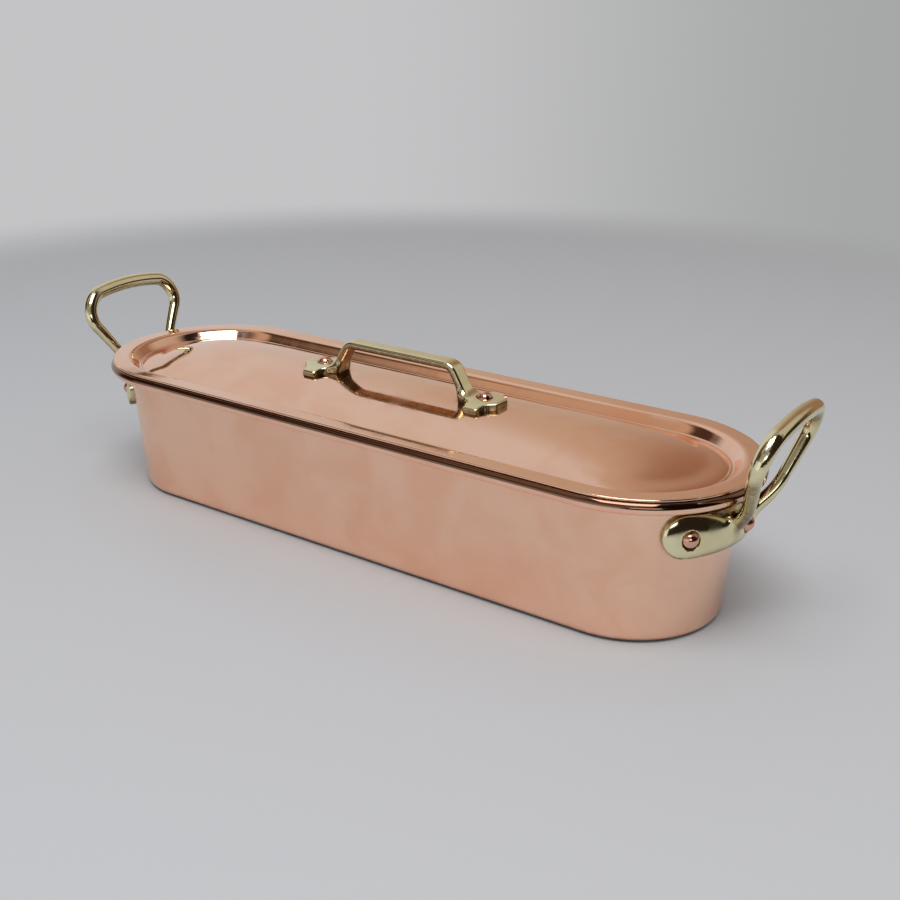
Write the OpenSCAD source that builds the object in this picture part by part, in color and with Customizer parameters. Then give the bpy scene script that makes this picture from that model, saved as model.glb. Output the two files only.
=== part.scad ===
// Fish kettle in polished copper: a long pan with rounded ends, a lifting rack that stands in it,
// and a lid with a domed panel. The two end handles and the lid handle are cast in brass.
// The pan stands on z = 0, its length runs along x and the front is at -y.

/* [Pan] */
// Length of the pan over its rim
rim_length = 497; // [420:1:620]
// Width of the pan over its rim
rim_width = 153; // [138:1:180]
// Height of the rim above the table
pan_height = 95.5; // [90:0.5:130]
// Width of the turned-out rim, from the wall to its outer edge
rim_flat = 12.5; // [11:0.25:15]
// Distance that each wall leans out between the base and the rim
wall_spread = 6.5; // [2:0.25:9]
// Thickness of the copper sheet of the pan
pan_sheet = 1.6; // [1.2:0.1:2.2]
// Thickness of the inner lining of the pan and lid
lining_sheet = 0.4; // [0.3:0.05:0.6]
// Outer radius where the base meets the wall
base_round = 4.5; // [3.5:0.5:8]
// Distance of the bottom plate's brazed seam from the edge of the base
seam_inset = 7; // [6:0.5:16]
// Outer radius where the wall turns out into the rim
neck_round = 4; // [2:0.5:5]
// Diameter of the rolled edge of the rim
bead_size = 8; // [7:0.5:9]

/* [Lid] */
// Distance of the lid's edge inside the rim's outer edge
lid_inset = 1.75; // [0.5:0.25:4.5]
// Play between the lid's step and the mouth of the pan
lid_play = 0.65; // [0.5:0.05:2]
// Distance that the step slopes in, from the flange to the panel's edge
step_run = 3.75; // [2.5:0.25:6]
// Depth of the step from the flange down to the panel's edge
step_depth = 7.5; // [5:0.5:10]
// Rise of the panel from its edge to its middle
crown_rise = 14; // [8:0.5:18]
// Thickness of the copper sheet of the lid
lid_sheet = 1.5; // [1:0.1:2]
// Rounding of the step's upper edge
step_round = 2.6; // [2.2:0.1:4]
// Rounding at the foot of the step
panel_round = 1.4; // [0.8:0.1:2]
// Gap that lets the lid and the rack rest without binding
rest_gap = 0.2; // [0.1:0.05:0.4]

/* [End handles] */
// Width of the grip between its corners
grip_width = 104; // [80:1:110]
// Height of the grip's corners above the rim bead's centre, along the lean
grip_height = 38; // [30:1:50]
// Upward bow of the grip
grip_bow = 8.6; // [0:0.2:12]
// Lean of the loop away from the pan
grip_lean = 15.4; // [8:0.2:25]
// Radius of the loop's upper corners
grip_round = 12.8; // [8:0.2:18]
// Diameter of the grip in its middle
grip_size = 9.8; // [8:0.2:12]
// Diameter of the loop's legs
leg_size = 7.4; // [6.4:0.2:9]
// Distance between the legs where they pass the rim
leg_gap = 53; // [44:1:60]
// Free space between the rim bead and a leg
leg_clear = 4.8; // [2:0.2:6]
// Height of the wrapping foot
foot_height = 26; // [20:1:32]
// Height of the foot's middle above the table
foot_middle = 70; // [60:1:76]
// Thickness of the foot in its middle
foot_thick = 10; // [7:0.2:11]
// Thickness of the foot at its rounded ends
foot_tip_thick = 6; // [5:0.2:6.8]
// Thickness of the foot along its edge
foot_edge = 3; // [2:0.1:4]
// Angle round the pan's end from its middle to the centre of a rounded foot end
foot_angle = 37.4; // [34:0.2:46]
// Angle round the pan's end from the middle rivet to the next one
rivet_angle = 36; // [26:0.5:38]
// Distance of the rivets below the foot's middle
rivet_drop = 0.8; // [0:0.1:2]

/* [Lid handle] */
// Length of the straight bar over its corners
bar_length = 84; // [60:1:110]
// Height of the bar's middle above the domed panel
bar_rise = 21.5; // [18:0.5:32]
// Width of the bar
bar_width = 12.4; // [9:0.2:16]
// Thickness of the bar
bar_thick = 5.4; // [4:0.2:7]
// Distance between the two lid rivets
lid_rivet_gap = 132; // [116:1:160]
// Width of a foot over its shoulders
lid_foot_width = 37; // [28:1:40]
// Thickness of a foot at the rivet
lid_foot_thick = 4; // [3.4:0.2:5]
// Radius to which the top of a foot is rounded over
lid_foot_crown = 72; // [55:1:120]

/* [Rivets] */
// Diameter of a handle rivet's shank
rivet_shank = 6; // [4.5:0.1:7]
// Diameter of a handle rivet's domed head
rivet_head = 10.2; // [9:0.1:11]
// Height of a rivet's domed head
rivet_dome = 4.2; // [3:0.1:4.4]
// Thickness of the flat head on the inside
rivet_inner = 1.2; // [0.8:0.1:2]

/* [Rack] */
// Free space between the rack and the lining of the pan's floor
rack_clear = 4; // [3:0.5:8]
// Height of the rack's plate above the pan's floor
rack_height = 12; // [8:0.5:18]
// Thickness of the rack's sheet
rack_sheet = 1.2; // [0.8:0.1:1.6]
// Diameter of the drain holes
drain_hole = 7; // [4:0.5:10]
// Distance between the drain holes
drain_pitch = 22; // [18:1:28]
// Number of rows of drain holes on each side of the middle
drain_rows = 2; // [1:1:2]
// Diameter of the rack handles' rod
rod_size = 5; // [4:0.2:6]
// Distance between the legs of a rack handle
rod_gap = 44; // [34:1:50]
// Height of a rack handle above the rack's plate
rod_height = 60; // [40:1:62]
// Distance of the rack handles from the start of the rack's rounded ends
rod_inset = 12; // [4:1:50]
// Diameter of a rack rivet's shank
rack_rivet_shank = 4; // [3:0.1:4.6]

/* [Hidden] */
$fn = 96;
copper = "#c98a6b";
brass = "#c2a65a";
tin = "#c9c9c4";
steel = "#9a9c9e";

// Half of the straight run between the centres of the two rounded ends
spine = (rim_length - rim_width) / 2;
rim_r = rim_width / 2;
mouth_r = rim_r - rim_flat;
base_r = mouth_r - wall_spread;
seam_r = base_r - seam_inset;
bead_r = bead_size / 2;
bead_x = rim_r - bead_r;
bead_z = pan_height - bead_r;
// Underside of the rim's flat, where the wall's outer face would reach it
rim_under = pan_height - pan_sheet;
wall_lean = atan(wall_spread / rim_under);
// Where the underside of the rim's flat runs into the rolled edge
bead_start = 180 - asin((rim_under - bead_z) / bead_r);
floor_z = pan_sheet + lining_sheet;
lining_top = rim_under - neck_round - pan_sheet - 1;

// Lid heights
lid_under = pan_height + rest_gap;
lid_top = lid_under + lid_sheet;
lid_r = rim_r - lid_inset;
step_r = mouth_r - pan_sheet - lid_sheet - lid_play;
panel_r = step_r - step_run;
panel_edge = lid_top - step_depth;
panel_top = panel_edge + crown_rise;
crown_r = (panel_r * panel_r + crown_rise * crown_rise) / (2 * crown_rise);
crown_steps = 20;
lid_skin = lid_sheet + lining_sheet;

// Rack heights
rack_foot = floor_z + rest_gap;
rack_top = floor_z + rack_height + rack_sheet;
rack_r = base_r - pan_sheet - lining_sheet - rack_clear;
tab_width = 13;
tab_length = 26;
tab_thick = 2;
rack_head = 8;
rack_rivet_rise = 1.8;
rack_rivet_under = 1;

function unit(v) = v / norm(v);
function left_of(a, b) = let (d = unit(b - a)) [-d.y, d.x];
function reversed(list) = [for (i = [len(list) - 1:-1:0]) list[i]];

// Points of an arc from one angle to another
function arc(centre, rad, from, to, steps) =
    [for (i = [0:steps]) let (a = from + (to - from) * i / steps) centre + rad * [cos(a), sin(a)]];

// A corner at b between a and c, rounded with the radius rad
function corner(a, b, c, rad, steps = 6) =
    rad <= 0 ? [b] :
    let (u = unit(a - b), v = unit(c - b), half = acos(u * v) / 2,
        centre = b + unit(u + v) * rad / sin(half),
        first = b + u * rad / tan(half) - centre,
        last = b + v * rad / tan(half) - centre,
        from = atan2(first.y, first.x),
        turn = (atan2(last.y, last.x) - from + 540) % 360 - 180)
    arc(centre, rad, from, from + turn, steps);

// A path moved to its left by t, with mitred corners
function beside(path, t) = [for (i = [0:len(path) - 1])
    let (n0 = left_of(path[max(i - 1, 0)], path[max(i, 1)]),
        n1 = left_of(path[min(i, len(path) - 2)], path[min(i + 1, len(path) - 1)]))
    path[i] + t * (n0 + n1) / (1 + n0 * n1)];

// The same path with its corners rounded, each radius following the sheet's thickness round the bend
function bent(path, radii, t) =
    let (p = beside(path, t), last = len(path) - 1)
    concat([p[0]], [for (i = [1:last - 1])
        let (side = cross(path[i] - path[i - 1], path[i + 1] - path[i]) > 0 ? -1 : 1,
            rad = radii[i] > 0 ? max(radii[i] + side * t, 0) : 0)
        each corner(p[i - 1], p[i], p[i + 1], rad)], [p[last]]);

// Section of a bent sheet between two depths left of its path
module sheet(path, radii, from, to) {
    polygon(concat(bent(path, radii, from), reversed(bent(path, radii, to))));
}

// A section drawn as [distance from the spine, height], carried right round the long rounded plan
module round_plan(half = spine) {
    for (side = [0, 1])
        mirror([side, 0, 0])
            translate([half, 0, 0])
                rotate([0, 0, -90])
                    rotate_extrude(angle = 180)
                        children();
    for (side = [0, 1])
        mirror([0, side, 0])
            translate([-half, 0, 0])
                rotate([90, 0, 90])
                    linear_extrude(2 * half)
                        children();
}

// Paths along the outer face: from the seam under the base to the rim, and from the middle up the wall
pan_path = [[seam_r, 0], [base_r, 0], [mouth_r, rim_under], [bead_x + bead_r * cos(bead_start), rim_under]];
pan_radii = [0, base_round, neck_round, 0];
wall_end = [base_r + wall_spread * lining_top / rim_under, lining_top];
lining_path = [[0, 0], [base_r, 0], wall_end];

module pan_section() {
    difference() {
        polygon(concat(bent(pan_path, pan_radii, 0),
            arc([bead_x, bead_z], bead_r, bead_start, 450, 24),
            reversed(bent(pan_path, pan_radii, pan_sheet))));
        translate([bead_x, bead_z]) circle(bead_r - pan_sheet);
    }
}

// Everything inside the wall's outer face, moved in by t
module pan_inside(t) {
    lean_shift = t / cos(wall_lean);
    polygon([[0, t], [base_r + wall_spread * t / rim_under - lean_shift, t],
        [mouth_r - lean_shift, rim_under], [0, rim_under]]);
}

module pan_body() {
    color(copper)
        difference() {
            round_plan() pan_section();
            for (end = [0, 1], side = [-1:1])
                at_rivet(end, side) rivet_hole();
        }
}

// Flat bottom plate, brazed into the turned-in edge of the wall
module pan_base() {
    color(copper)
        round_plan() square([seam_r, pan_sheet]);
}

module pan_lining() {
    color(tin)
        difference() {
            round_plan() sheet(lining_path, pan_radii, pan_sheet, pan_sheet + lining_sheet);
            for (end = [0, 1], side = [-1:1])
                at_rivet(end, side) rivet_hole();
        }
}

module rim_wire() {
    color(steel)
        round_plan()
            translate([bead_x, bead_z])
                circle(bead_r - pan_sheet);
}

// Radius of the wall's outer face at the middle of the handles' feet
foot_r = base_r + wall_spread * foot_middle / rim_under;
foot_half = foot_height / 2;

// Puts a child on the wall of the right (0) or left (1) end: z out of the wall, x down along it
module on_end(end, angle) {
    mirror([end, 0, 0])
        translate([spine, 0, 0])
            rotate([0, 0, angle])
                translate([foot_r, 0, foot_middle])
                    rotate([0, 90 + wall_lean, 0])
                        children();
}

// Side -1 is the front rivet, 0 the middle one and 1 the back one
module at_rivet(end, side) {
    on_end(end, side * rivet_angle)
        translate([rivet_drop, 0, 0])
            children();
}

module rivet_hole() {
    translate([0, 0, -2 * pan_sheet - lining_sheet - rivet_inner])
        cylinder(d = rivet_shank, h = foot_thick + 4 * pan_sheet);
}

// Thickness of the foot along its middle, at an angle round the pan's end
function thick_at(angle) =
    foot_tip_thick + (foot_thick - foot_tip_thick) * cos(90 * min(1, abs(angle) / foot_angle));

// Half of the foot's cushioned cross-section, as [distance from its middle, thickness]
function cushion(thick, steps = 8) = [for (i = [0:steps])
    let (s = foot_half * sin(90 * i / steps)) [s, foot_edge + (thick - foot_edge) * cos(90 * i / steps)]];
foot_sink = 4;
foot_turns = 10;

module foot_cushion(thick) {
    rotate_extrude($fn = 32)
        polygon(concat([[0, -foot_sink], [foot_half, -foot_sink]], reversed(cushion(thick))));
}

// The cushion carried round the pan's end from one rounded end of the foot to the other
module wrapped_foot() {
    hull()
        for (i = [0:foot_turns]) {
            angle = foot_angle * (2 * i / foot_turns - 1);
            on_end(0, angle) foot_cushion(thick_at(angle));
        }
}

// Depth of the flat seat that is spot-faced for a rivet head, and the head's play in it
seat_depth = 1;
seat_clear = 0.6;
function seat_z(side) = thick_at(side * rivet_angle) - seat_depth;

// Centre line of one end loop in its own leaning plane, as [across, up]
leg_x = rim_r + leg_clear + leg_size / 2;
leg_foot = -21.5;
// Growth of a leg's radius down to its root inside the foot
leg_flare = 0.6;
leg_slope = (grip_width - leg_gap) / 2 / grip_height;
loop_reach = sqrt(leg_x * leg_x - leg_gap * leg_gap / 4);
loop_hook = (loop_reach + leg_foot * sin(grip_lean) - foot_r - foot_thick / 2) / (leg_foot * leg_foot);
loop_flat = concat([[leg_gap / 2 + leg_slope * leg_foot, leg_foot]],
    [for (i = [1:7]) let (v = leg_foot * (1 - i / 8)) [leg_gap / 2 + leg_slope * v, v]],
    [for (i = [0:2]) let (v = (grip_height - 1.4 * grip_round) * i / 2) [leg_gap / 2 + leg_slope * v, v]],
    corner([leg_gap / 2, 0], [grip_width / 2, grip_height], [0, grip_height], grip_round, 9),
    [for (i = [1:4]) [(grip_width / 2 - 1.4 * grip_round) * (1 - i / 4), grip_height]]);
loop_half = [for (p = loop_flat)
    [p.x, p.y + grip_bow * max(0, p.y / grip_height) * (1 - pow(2 * p.x / grip_width, 2))]];
loop_line = concat(loop_half, [for (i = [len(loop_half) - 2:-1:0]) [-loop_half[i].x, loop_half[i].y]]);

function loop_point(p) = [
    loop_reach + p.y * sin(grip_lean) - (p.y < 0 ? loop_hook * p.y * p.y : 0),
    p.x, bead_z + p.y * cos(grip_lean)];
function loop_radius(p) = p.y < 0
    ? leg_size / 2 + leg_flare * pow(p.y / leg_foot, 2)
    : leg_size / 2 + (grip_size - leg_size) / 2 * min(1, p.y / grip_height);

// One ring of a swept bar round the point at, square to the line, with half sizes wide and thick
function ring(at, along, across, wide, thick, power, sides) =
    let (t = unit(along), b = unit(across - (across * t) * t), n = cross(t, b))
    [for (i = [0:sides - 1]) let (a = 360 * i / sides, c = cos(a), s = sin(a))
        at + wide * sign(c) * pow(abs(c), 2 / power) * b + thick * sign(s) * pow(abs(s), 2 / power) * n];

// A closed solid through a row of rings
module skin(rings) {
    sides = len(rings[0]);
    rows = len(rings);
    faces = concat(
        [for (j = [0:rows - 2], i = [0:sides - 1]) let (k = (i + 1) % sides)
            each [[j * sides + i, j * sides + k, (j + 1) * sides + k],
                [j * sides + i, (j + 1) * sides + k, (j + 1) * sides + i]]],
        [[for (i = [sides - 1:-1:0]) i]],
        [[for (i = [0:sides - 1]) (rows - 1) * sides + i]]);
    polyhedron([for (r = rings) each r], [for (f = faces) reversed(f)]);
}

module grip_loop() {
    points = [for (p = loop_line) loop_point(p)];
    last = len(points) - 1;
    skin([for (i = [0:last])
        ring(points[i], points[min(i + 1, last)] - points[max(i - 1, 0)], [cos(grip_lean), 0, -sin(grip_lean)],
            loop_radius(loop_line[i]), loop_radius(loop_line[i]), 2, 16)]);
}

// Right-hand casting; the left one is its mirror image
module end_casting() {
    color(brass)
        difference() {
            union() {
                wrapped_foot();
                translate([spine, 0, 0]) grip_loop();
            }
            round_plan() pan_inside(0);
            for (side = [-1:1])
                at_rivet(0, side) {
                    rivet_hole();
                    translate([0, 0, seat_z(side)])
                        cylinder(d = rivet_head + seat_clear, h = foot_thick);
                }
        }
}

module left_handle() {
    mirror([1, 0, 0]) end_casting();
}

module right_handle() {
    end_casting();
}

// A domed rivet head standing on z = 0
module domed_head(d, rise) {
    rad = (d * d / 4 + rise * rise) / (2 * rise);
    intersection() {
        translate([0, 0, rise - rad]) sphere(rad);
        cylinder(d = d, h = rise);
    }
}

module end_rivet(end, side) {
    skin_depth = pan_sheet + lining_sheet;
    color(copper) {
        at_rivet(end, side) {
            translate([0, 0, seat_z(side)]) domed_head(rivet_head, rivet_dome);
            translate([0, 0, -skin_depth - rivet_inner / 2])
                cylinder(d = rivet_shank, h = seat_z(side) + skin_depth + rivet_inner / 2 + rivet_dome / 4);
        }
        intersection() {
            at_rivet(end, side)
                translate([0, 0, -skin_depth - rivet_inner])
                    cylinder(d = rivet_head, h = rivet_inner + skin_depth);
            round_plan() pan_inside(skin_depth);
        }
    }
}

module left_front_rivet() {
    end_rivet(1, -1);
}

module left_middle_rivet() {
    end_rivet(1, 0);
}

module left_back_rivet() {
    end_rivet(1, 1);
}

module right_front_rivet() {
    end_rivet(0, -1);
}

module right_middle_rivet() {
    end_rivet(0, 0);
}

module right_back_rivet() {
    end_rivet(0, 1);
}

// Path along the lid's upper face, from the flange's edge to the middle of the dome
crown_angle = asin(panel_r / crown_r);
crown_half_step = crown_angle / (2 * crown_steps - 1);
crown_flat = panel_top - crown_r * (1 - cos(crown_half_step));
lid_path = concat([[lid_r, lid_top], [step_r, lid_top]],
    [for (i = [0:crown_steps - 1]) let (a = crown_angle - 2 * i * crown_half_step)
        [crown_r * sin(a), panel_top - crown_r * (1 - cos(a))]],
    [[0, crown_flat]]);
lid_radii = [for (i = [0:len(lid_path) - 1]) i == 1 ? step_round : i == 2 ? panel_round : 0];
step_start = [step_r - step_run * 0.35, lid_top - step_depth * 0.35];
lid_lining_path = concat([step_start], [for (i = [2:len(lid_path) - 1]) lid_path[i]]);
lid_lining_radii = [for (i = [0:len(lid_lining_path) - 1]) i == 1 ? panel_round : 0];

// Everything under the lid's upper face, moved down by t, between the heights of its edge and its crown
module under_dome(t) {
    dome = [for (i = [2:len(lid_path) - 1]) beside(lid_path, t)[i]];
    polygon(concat([[0, panel_edge - 3 * lid_skin], [dome[0].x, panel_edge - 3 * lid_skin]], dome));
}

module dome_block(t, from, to) {
    for (side = [0, 1])
        mirror([0, side, 0])
            translate([from, 0, 0])
                rotate([90, 0, 90])
                    linear_extrude(to - from)
                        under_dome(t);
}

lid_rivet_x = lid_rivet_gap / 2;
lid_seat = panel_top + lid_foot_thick;
lid_seat_depth = 0.5;

module at_lid_rivet(side) {
    translate([side * lid_rivet_x, 0, lid_seat]) children();
}

module lid_rivet_hole() {
    translate([0, 0, -lid_foot_thick - 2 * lid_skin])
        cylinder(d = rivet_shank, h = 2 * lid_foot_thick + 2 * lid_skin);
}

module lid_shell() {
    color(copper)
        difference() {
            round_plan() sheet(lid_path, lid_radii, 0, lid_sheet);
            for (side = [-1, 1])
                at_lid_rivet(side) lid_rivet_hole();
        }
}

module lid_lining() {
    color(tin)
        difference() {
            round_plan() sheet(lid_lining_path, lid_lining_radii, lid_sheet, lid_skin);
            for (side = [-1, 1])
                at_lid_rivet(side) lid_rivet_hole();
        }
}

// Centre line of the lid handle's bar, as [along, height]; it runs out flat into each foot
bar_z = panel_top + bar_rise;
bar_half = bar_length / 2;
bar_round = 7;
bar_foot_round = 9;
bar_end_z = panel_top + lid_foot_thick - bar_thick / 2 + 0.6;
bar_foot_x = lid_rivet_x - 9;
bar_stop_x = lid_rivet_x - 3;
bar_flat = concat(
    [[bar_stop_x, bar_end_z]],
    corner([bar_stop_x, bar_end_z], [bar_foot_x - 3, bar_end_z], [bar_half, bar_z], bar_foot_round, 6),
    corner([bar_foot_x - 3, bar_end_z], [bar_half, bar_z], [0, bar_z], bar_round, 6),
    [for (i = [1:3]) [(bar_half - bar_round) * (1 - i / 3), bar_z]]);
bar_line = concat(bar_flat, [for (i = [len(bar_flat) - 2:-1:0]) [-bar_flat[i].x, bar_flat[i].y]]);

module bar_sweep() {
    last = len(bar_line) - 1;
    points = [for (p = bar_line) [p.x, 0, p.y]];
    skin([for (i = [0:last])
        ring(points[i], points[min(i + 1, last)] - points[max(i - 1, 0)], [0, 1, 0],
            bar_width / 2, bar_thick / 2, 3.2, 20)]);
}

// Plan of the right foot: hollow sides from the leg out to square shoulders, then in again to a blunt tip
foot_inner = lid_rivet_x - 17;
foot_neck = lid_rivet_x - 6;
foot_shoulder = lid_rivet_x + 5.5;
foot_tip = lid_rivet_x + 12;
inner_half = 0.55 * bar_width;
tip_half = 5;
shoulder_half = lid_foot_width / 2;
// Rounding of the shoulders' corners and of the tip's
shoulder_ease = 1.2;
hollow_steps = 8;
hollow_out = shoulder_half - shoulder_ease - inner_half;
hollow_in = shoulder_half - shoulder_ease - tip_half;
foot_outline = concat(
    [for (i = [0:hollow_steps]) let (a = 90 * i / hollow_steps)
        [foot_inner + (foot_neck - foot_inner) * sin(a), inner_half + hollow_out * (1 - cos(a))]],
    [[foot_neck + shoulder_ease, shoulder_half], [foot_shoulder - shoulder_ease, shoulder_half]],
    [for (i = [0:hollow_steps]) let (a = 90 * i / hollow_steps)
        [foot_shoulder + (foot_tip - foot_shoulder) * (1 - cos(a)), tip_half + hollow_in * (1 - sin(a))]],
    [[foot_tip + shoulder_ease, tip_half - shoulder_ease]]);

// A foot is as thick as its rivet needs in the middle and rounded over towards its shoulders
module lid_foot(side) {
    mirror([side < 0 ? 1 : 0, 0, 0])
        intersection() {
            translate([0, 0, panel_top - crown_rise / 3])
                linear_extrude(crown_rise / 3 + lid_foot_thick + lid_seat_depth)
                    polygon(concat(foot_outline, [for (p = reversed(foot_outline)) [p.x, -p.y]]));
            translate([foot_inner - 1, 0, lid_seat + lid_seat_depth - lid_foot_crown])
                rotate([0, 90, 0])
                    cylinder(r = lid_foot_crown, h = foot_tip - foot_inner + 5);
        }
}

module lid_handle() {
    color(brass)
        difference() {
            union() {
                bar_sweep();
                for (side = [-1, 1])
                    lid_foot(side);
            }
            dome_block(0, -foot_tip - 5, foot_tip + 5);
            for (side = [-1, 1])
                at_lid_rivet(side) {
                    lid_rivet_hole();
                    cylinder(d = rivet_head + seat_clear, h = bar_thick);
                }
        }
}

module lid_rivet(side) {
    color(copper) {
        at_lid_rivet(side) {
            domed_head(rivet_head, rivet_dome);
            translate([0, 0, -lid_foot_thick - lid_skin - rivet_inner / 2])
                cylinder(d = rivet_shank, h = lid_foot_thick + lid_skin + rivet_inner / 2 + rivet_dome / 4);
        }
        intersection() {
            at_lid_rivet(side)
                translate([0, 0, -lid_foot_thick - lid_skin - rivet_inner])
                    cylinder(d = rivet_head, h = rivet_inner + lid_skin);
            dome_block(lid_skin, side * lid_rivet_x - rivet_head, side * lid_rivet_x + rivet_head);
        }
    }
}

module lid_left_rivet() {
    lid_rivet(-1);
}

module lid_right_rivet() {
    lid_rivet(1);
}

// Rack: a flat plate with its edge turned down to stand on the pan's floor
rack_path = [[0, rack_top - rack_sheet], [rack_r - rack_sheet, rack_top - rack_sheet], [rack_r - rack_sheet, rack_foot]];
rack_radii = [0, 2, 0];
drain_count = floor((spine + rack_r * 0.6) / drain_pitch);
rod_place = spine - rod_inset;
rod_tab_x = rod_place - tab_length + tab_width;

module at_rack_rivet(end, side) {
    translate([(end == 0 ? 1 : -1) * rod_tab_x, side * rod_gap / 2, rack_top]) children();
}

module rack_plate() {
    color(tin)
        difference() {
            round_plan() sheet(rack_path, rack_radii, 0, rack_sheet);
            for (i = [-drain_count:drain_count], j = [0:drain_rows - 1], side = [-1, 1])
                translate([i * drain_pitch, side * (j + 0.5) * drain_pitch * 0.85, rack_top - 2 * rack_sheet])
                    cylinder(d = drain_hole, h = 3 * rack_sheet);
            for (end = [0, 1], side = [-1, 1])
                at_rack_rivet(end, side)
                    translate([0, 0, -2 * rack_sheet])
                        cylinder(d = rack_rivet_shank, h = 3 * rack_sheet);
        }
}

rod_r = rod_size / 2;
rod_bend = 12;

// A bent rod standing on two riveted tabs
module rod_handle(end) {
    rod_top = rack_top + rod_height - rod_r;
    color(tin)
        mirror([end, 0, 0])
            difference() {
                union() {
                    for (side = [-1, 1])
                        translate([0, side * rod_gap / 2, 0]) {
                            translate([rod_place, 0, rack_top + tab_thick / 2])
                                cylinder(d = rod_size, h = rod_height - rod_r - rod_bend - tab_thick / 2);
                            translate([rod_tab_x, 0, rack_top]) {
                                cylinder(d = tab_width, h = tab_thick);
                                translate([0, -tab_width / 2, 0])
                                    cube([tab_length - tab_width, tab_width, tab_thick]);
                                translate([tab_length - tab_width, 0, 0])
                                    cylinder(d = tab_width, h = tab_thick);
                            }
                            translate([rod_place, -side * rod_bend, rod_top - rod_bend])
                                rotate([90, 0, 90])
                                    rotate([0, 0, side > 0 ? 0 : 90])
                                        rotate_extrude(angle = 90)
                                            translate([rod_bend, 0])
                                                circle(rod_r);
                        }
                    translate([rod_place, -rod_gap / 2 + rod_bend, rod_top])
                        rotate([-90, 0, 0])
                            cylinder(d = rod_size, h = rod_gap - 2 * rod_bend);
                }
                for (side = [-1, 1])
                    translate([rod_tab_x, side * rod_gap / 2, rack_top - tab_thick])
                        cylinder(d = rack_rivet_shank, h = 3 * tab_thick);
            }
}

module rack_left_handle() {
    rod_handle(1);
}

module rack_right_handle() {
    rod_handle(0);
}

module rack_rivet(end, side) {
    color(tin)
        at_rack_rivet(end, side) {
            translate([0, 0, tab_thick]) domed_head(rack_head, rack_rivet_rise);
            translate([0, 0, -rack_sheet - rack_rivet_under])
                cylinder(d = rack_rivet_shank, h = rack_sheet + rack_rivet_under + tab_thick + rack_rivet_rise / 4);
            translate([0, 0, -rack_sheet - rack_rivet_under])
                cylinder(d = rack_head, h = rack_rivet_under);
        }
}

module rack_left_front_rivet() {
    rack_rivet(1, -1);
}

module rack_left_back_rivet() {
    rack_rivet(1, 1);
}

module rack_right_front_rivet() {
    rack_rivet(0, -1);
}

module rack_right_back_rivet() {
    rack_rivet(0, 1);
}

pan_body();
pan_base();
pan_lining();
rim_wire();
left_handle();
right_handle();
left_front_rivet();
left_middle_rivet();
left_back_rivet();
right_front_rivet();
right_middle_rivet();
right_back_rivet();
lid_shell();
lid_lining();
lid_handle();
lid_left_rivet();
lid_right_rivet();
rack_plate();
rack_left_handle();
rack_right_handle();
rack_left_front_rivet();
rack_left_back_rivet();
rack_right_front_rivet();
rack_right_back_rivet();
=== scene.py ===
# %% [markdown]
# # A copper fish kettle
# A fish kettle is a long pan for cooking a whole fish. This one has rounded ends, a rolled rim, a stepped
# lid with a domed panel, cast brass handles and a lifting rack inside. The measured solids come from the
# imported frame, and this lesson builds a finer skin around them: each visible solid is replaced by a piece of
# the same shape with rounder edges and a worked metal finish.

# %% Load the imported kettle
import math

import bmesh
import bpy
import numpy as np
from mathutils import Matrix, Vector


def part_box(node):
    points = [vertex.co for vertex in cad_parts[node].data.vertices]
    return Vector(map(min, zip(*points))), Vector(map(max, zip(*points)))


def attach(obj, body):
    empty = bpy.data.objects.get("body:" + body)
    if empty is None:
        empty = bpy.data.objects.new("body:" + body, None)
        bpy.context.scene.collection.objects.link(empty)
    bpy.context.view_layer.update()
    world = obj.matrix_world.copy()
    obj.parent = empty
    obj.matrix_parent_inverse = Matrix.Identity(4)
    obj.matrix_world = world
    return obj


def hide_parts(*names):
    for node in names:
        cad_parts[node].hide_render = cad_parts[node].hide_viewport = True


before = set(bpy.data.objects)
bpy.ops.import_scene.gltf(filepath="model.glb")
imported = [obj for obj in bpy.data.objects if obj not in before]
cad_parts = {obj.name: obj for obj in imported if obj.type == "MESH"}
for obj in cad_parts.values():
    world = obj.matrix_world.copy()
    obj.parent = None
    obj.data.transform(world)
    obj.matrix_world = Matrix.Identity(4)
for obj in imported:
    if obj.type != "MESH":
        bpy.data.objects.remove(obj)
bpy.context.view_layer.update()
mm = 0.001

# %% [markdown]
# ## Driving sizes
# The frame gives the size of the rim, the lid and the rack. Only the sheet thicknesses and bends, which no
# box can show, are named here. Everything else in the lesson is worked out from these values.

# %% Driving sizes
pan_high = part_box("pan_body")[1]
lid_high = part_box("lid_shell")[1]
rack_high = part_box("rack_plate")[1]
rim_radius = pan_high.y
half_run = pan_high.x - rim_radius
pan_height = pan_high.z
pan_sheet = 1.6 * mm
lining_sheet = 0.4 * mm
rim_flat = 12.5 * mm
wall_spread = 6.5 * mm
mouth_radius = rim_radius - rim_flat
base_radius = mouth_radius - wall_spread
rim_under = pan_height - pan_sheet
ends = (("right", 1), ("left", -1))
print("straight run %.1f mm, rim radius %.1f mm" % (2 * half_run / mm, rim_radius / mm))

# %% [markdown]
# ## Lines and bends
# Sheet metal is drawn as a line in section: distance from the pan's middle line across, and height up. A
# bend is a corner with a radius, and the other face of the sheet is the same line moved sideways, so both
# faces keep the sheet's thickness round every bend. Long straight runs get extra points, which keeps the
# smooth shading of a bend from leaking into the flat beside it.

# %% Bent lines
def unit(v):
    return v / np.linalg.norm(v)


def corner_arc(before, corner, after, radius, steps):
    if radius <= 0:
        return [corner]
    u, v = unit(before - corner), unit(after - corner)
    half = math.acos(np.clip(u @ v, -1, 1)) / 2
    middle = corner + unit(u + v) * radius / math.sin(half)
    start = corner + u * radius / math.tan(half) - middle
    end = corner + v * radius / math.tan(half) - middle
    turn = math.pi - 2 * half
    arc = []
    for t in np.linspace(0, 1, steps + 1):
        arc.append(middle + (math.sin((1 - t) * turn) * start + math.sin(t * turn) * end) / math.sin(turn))
    return arc


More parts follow.
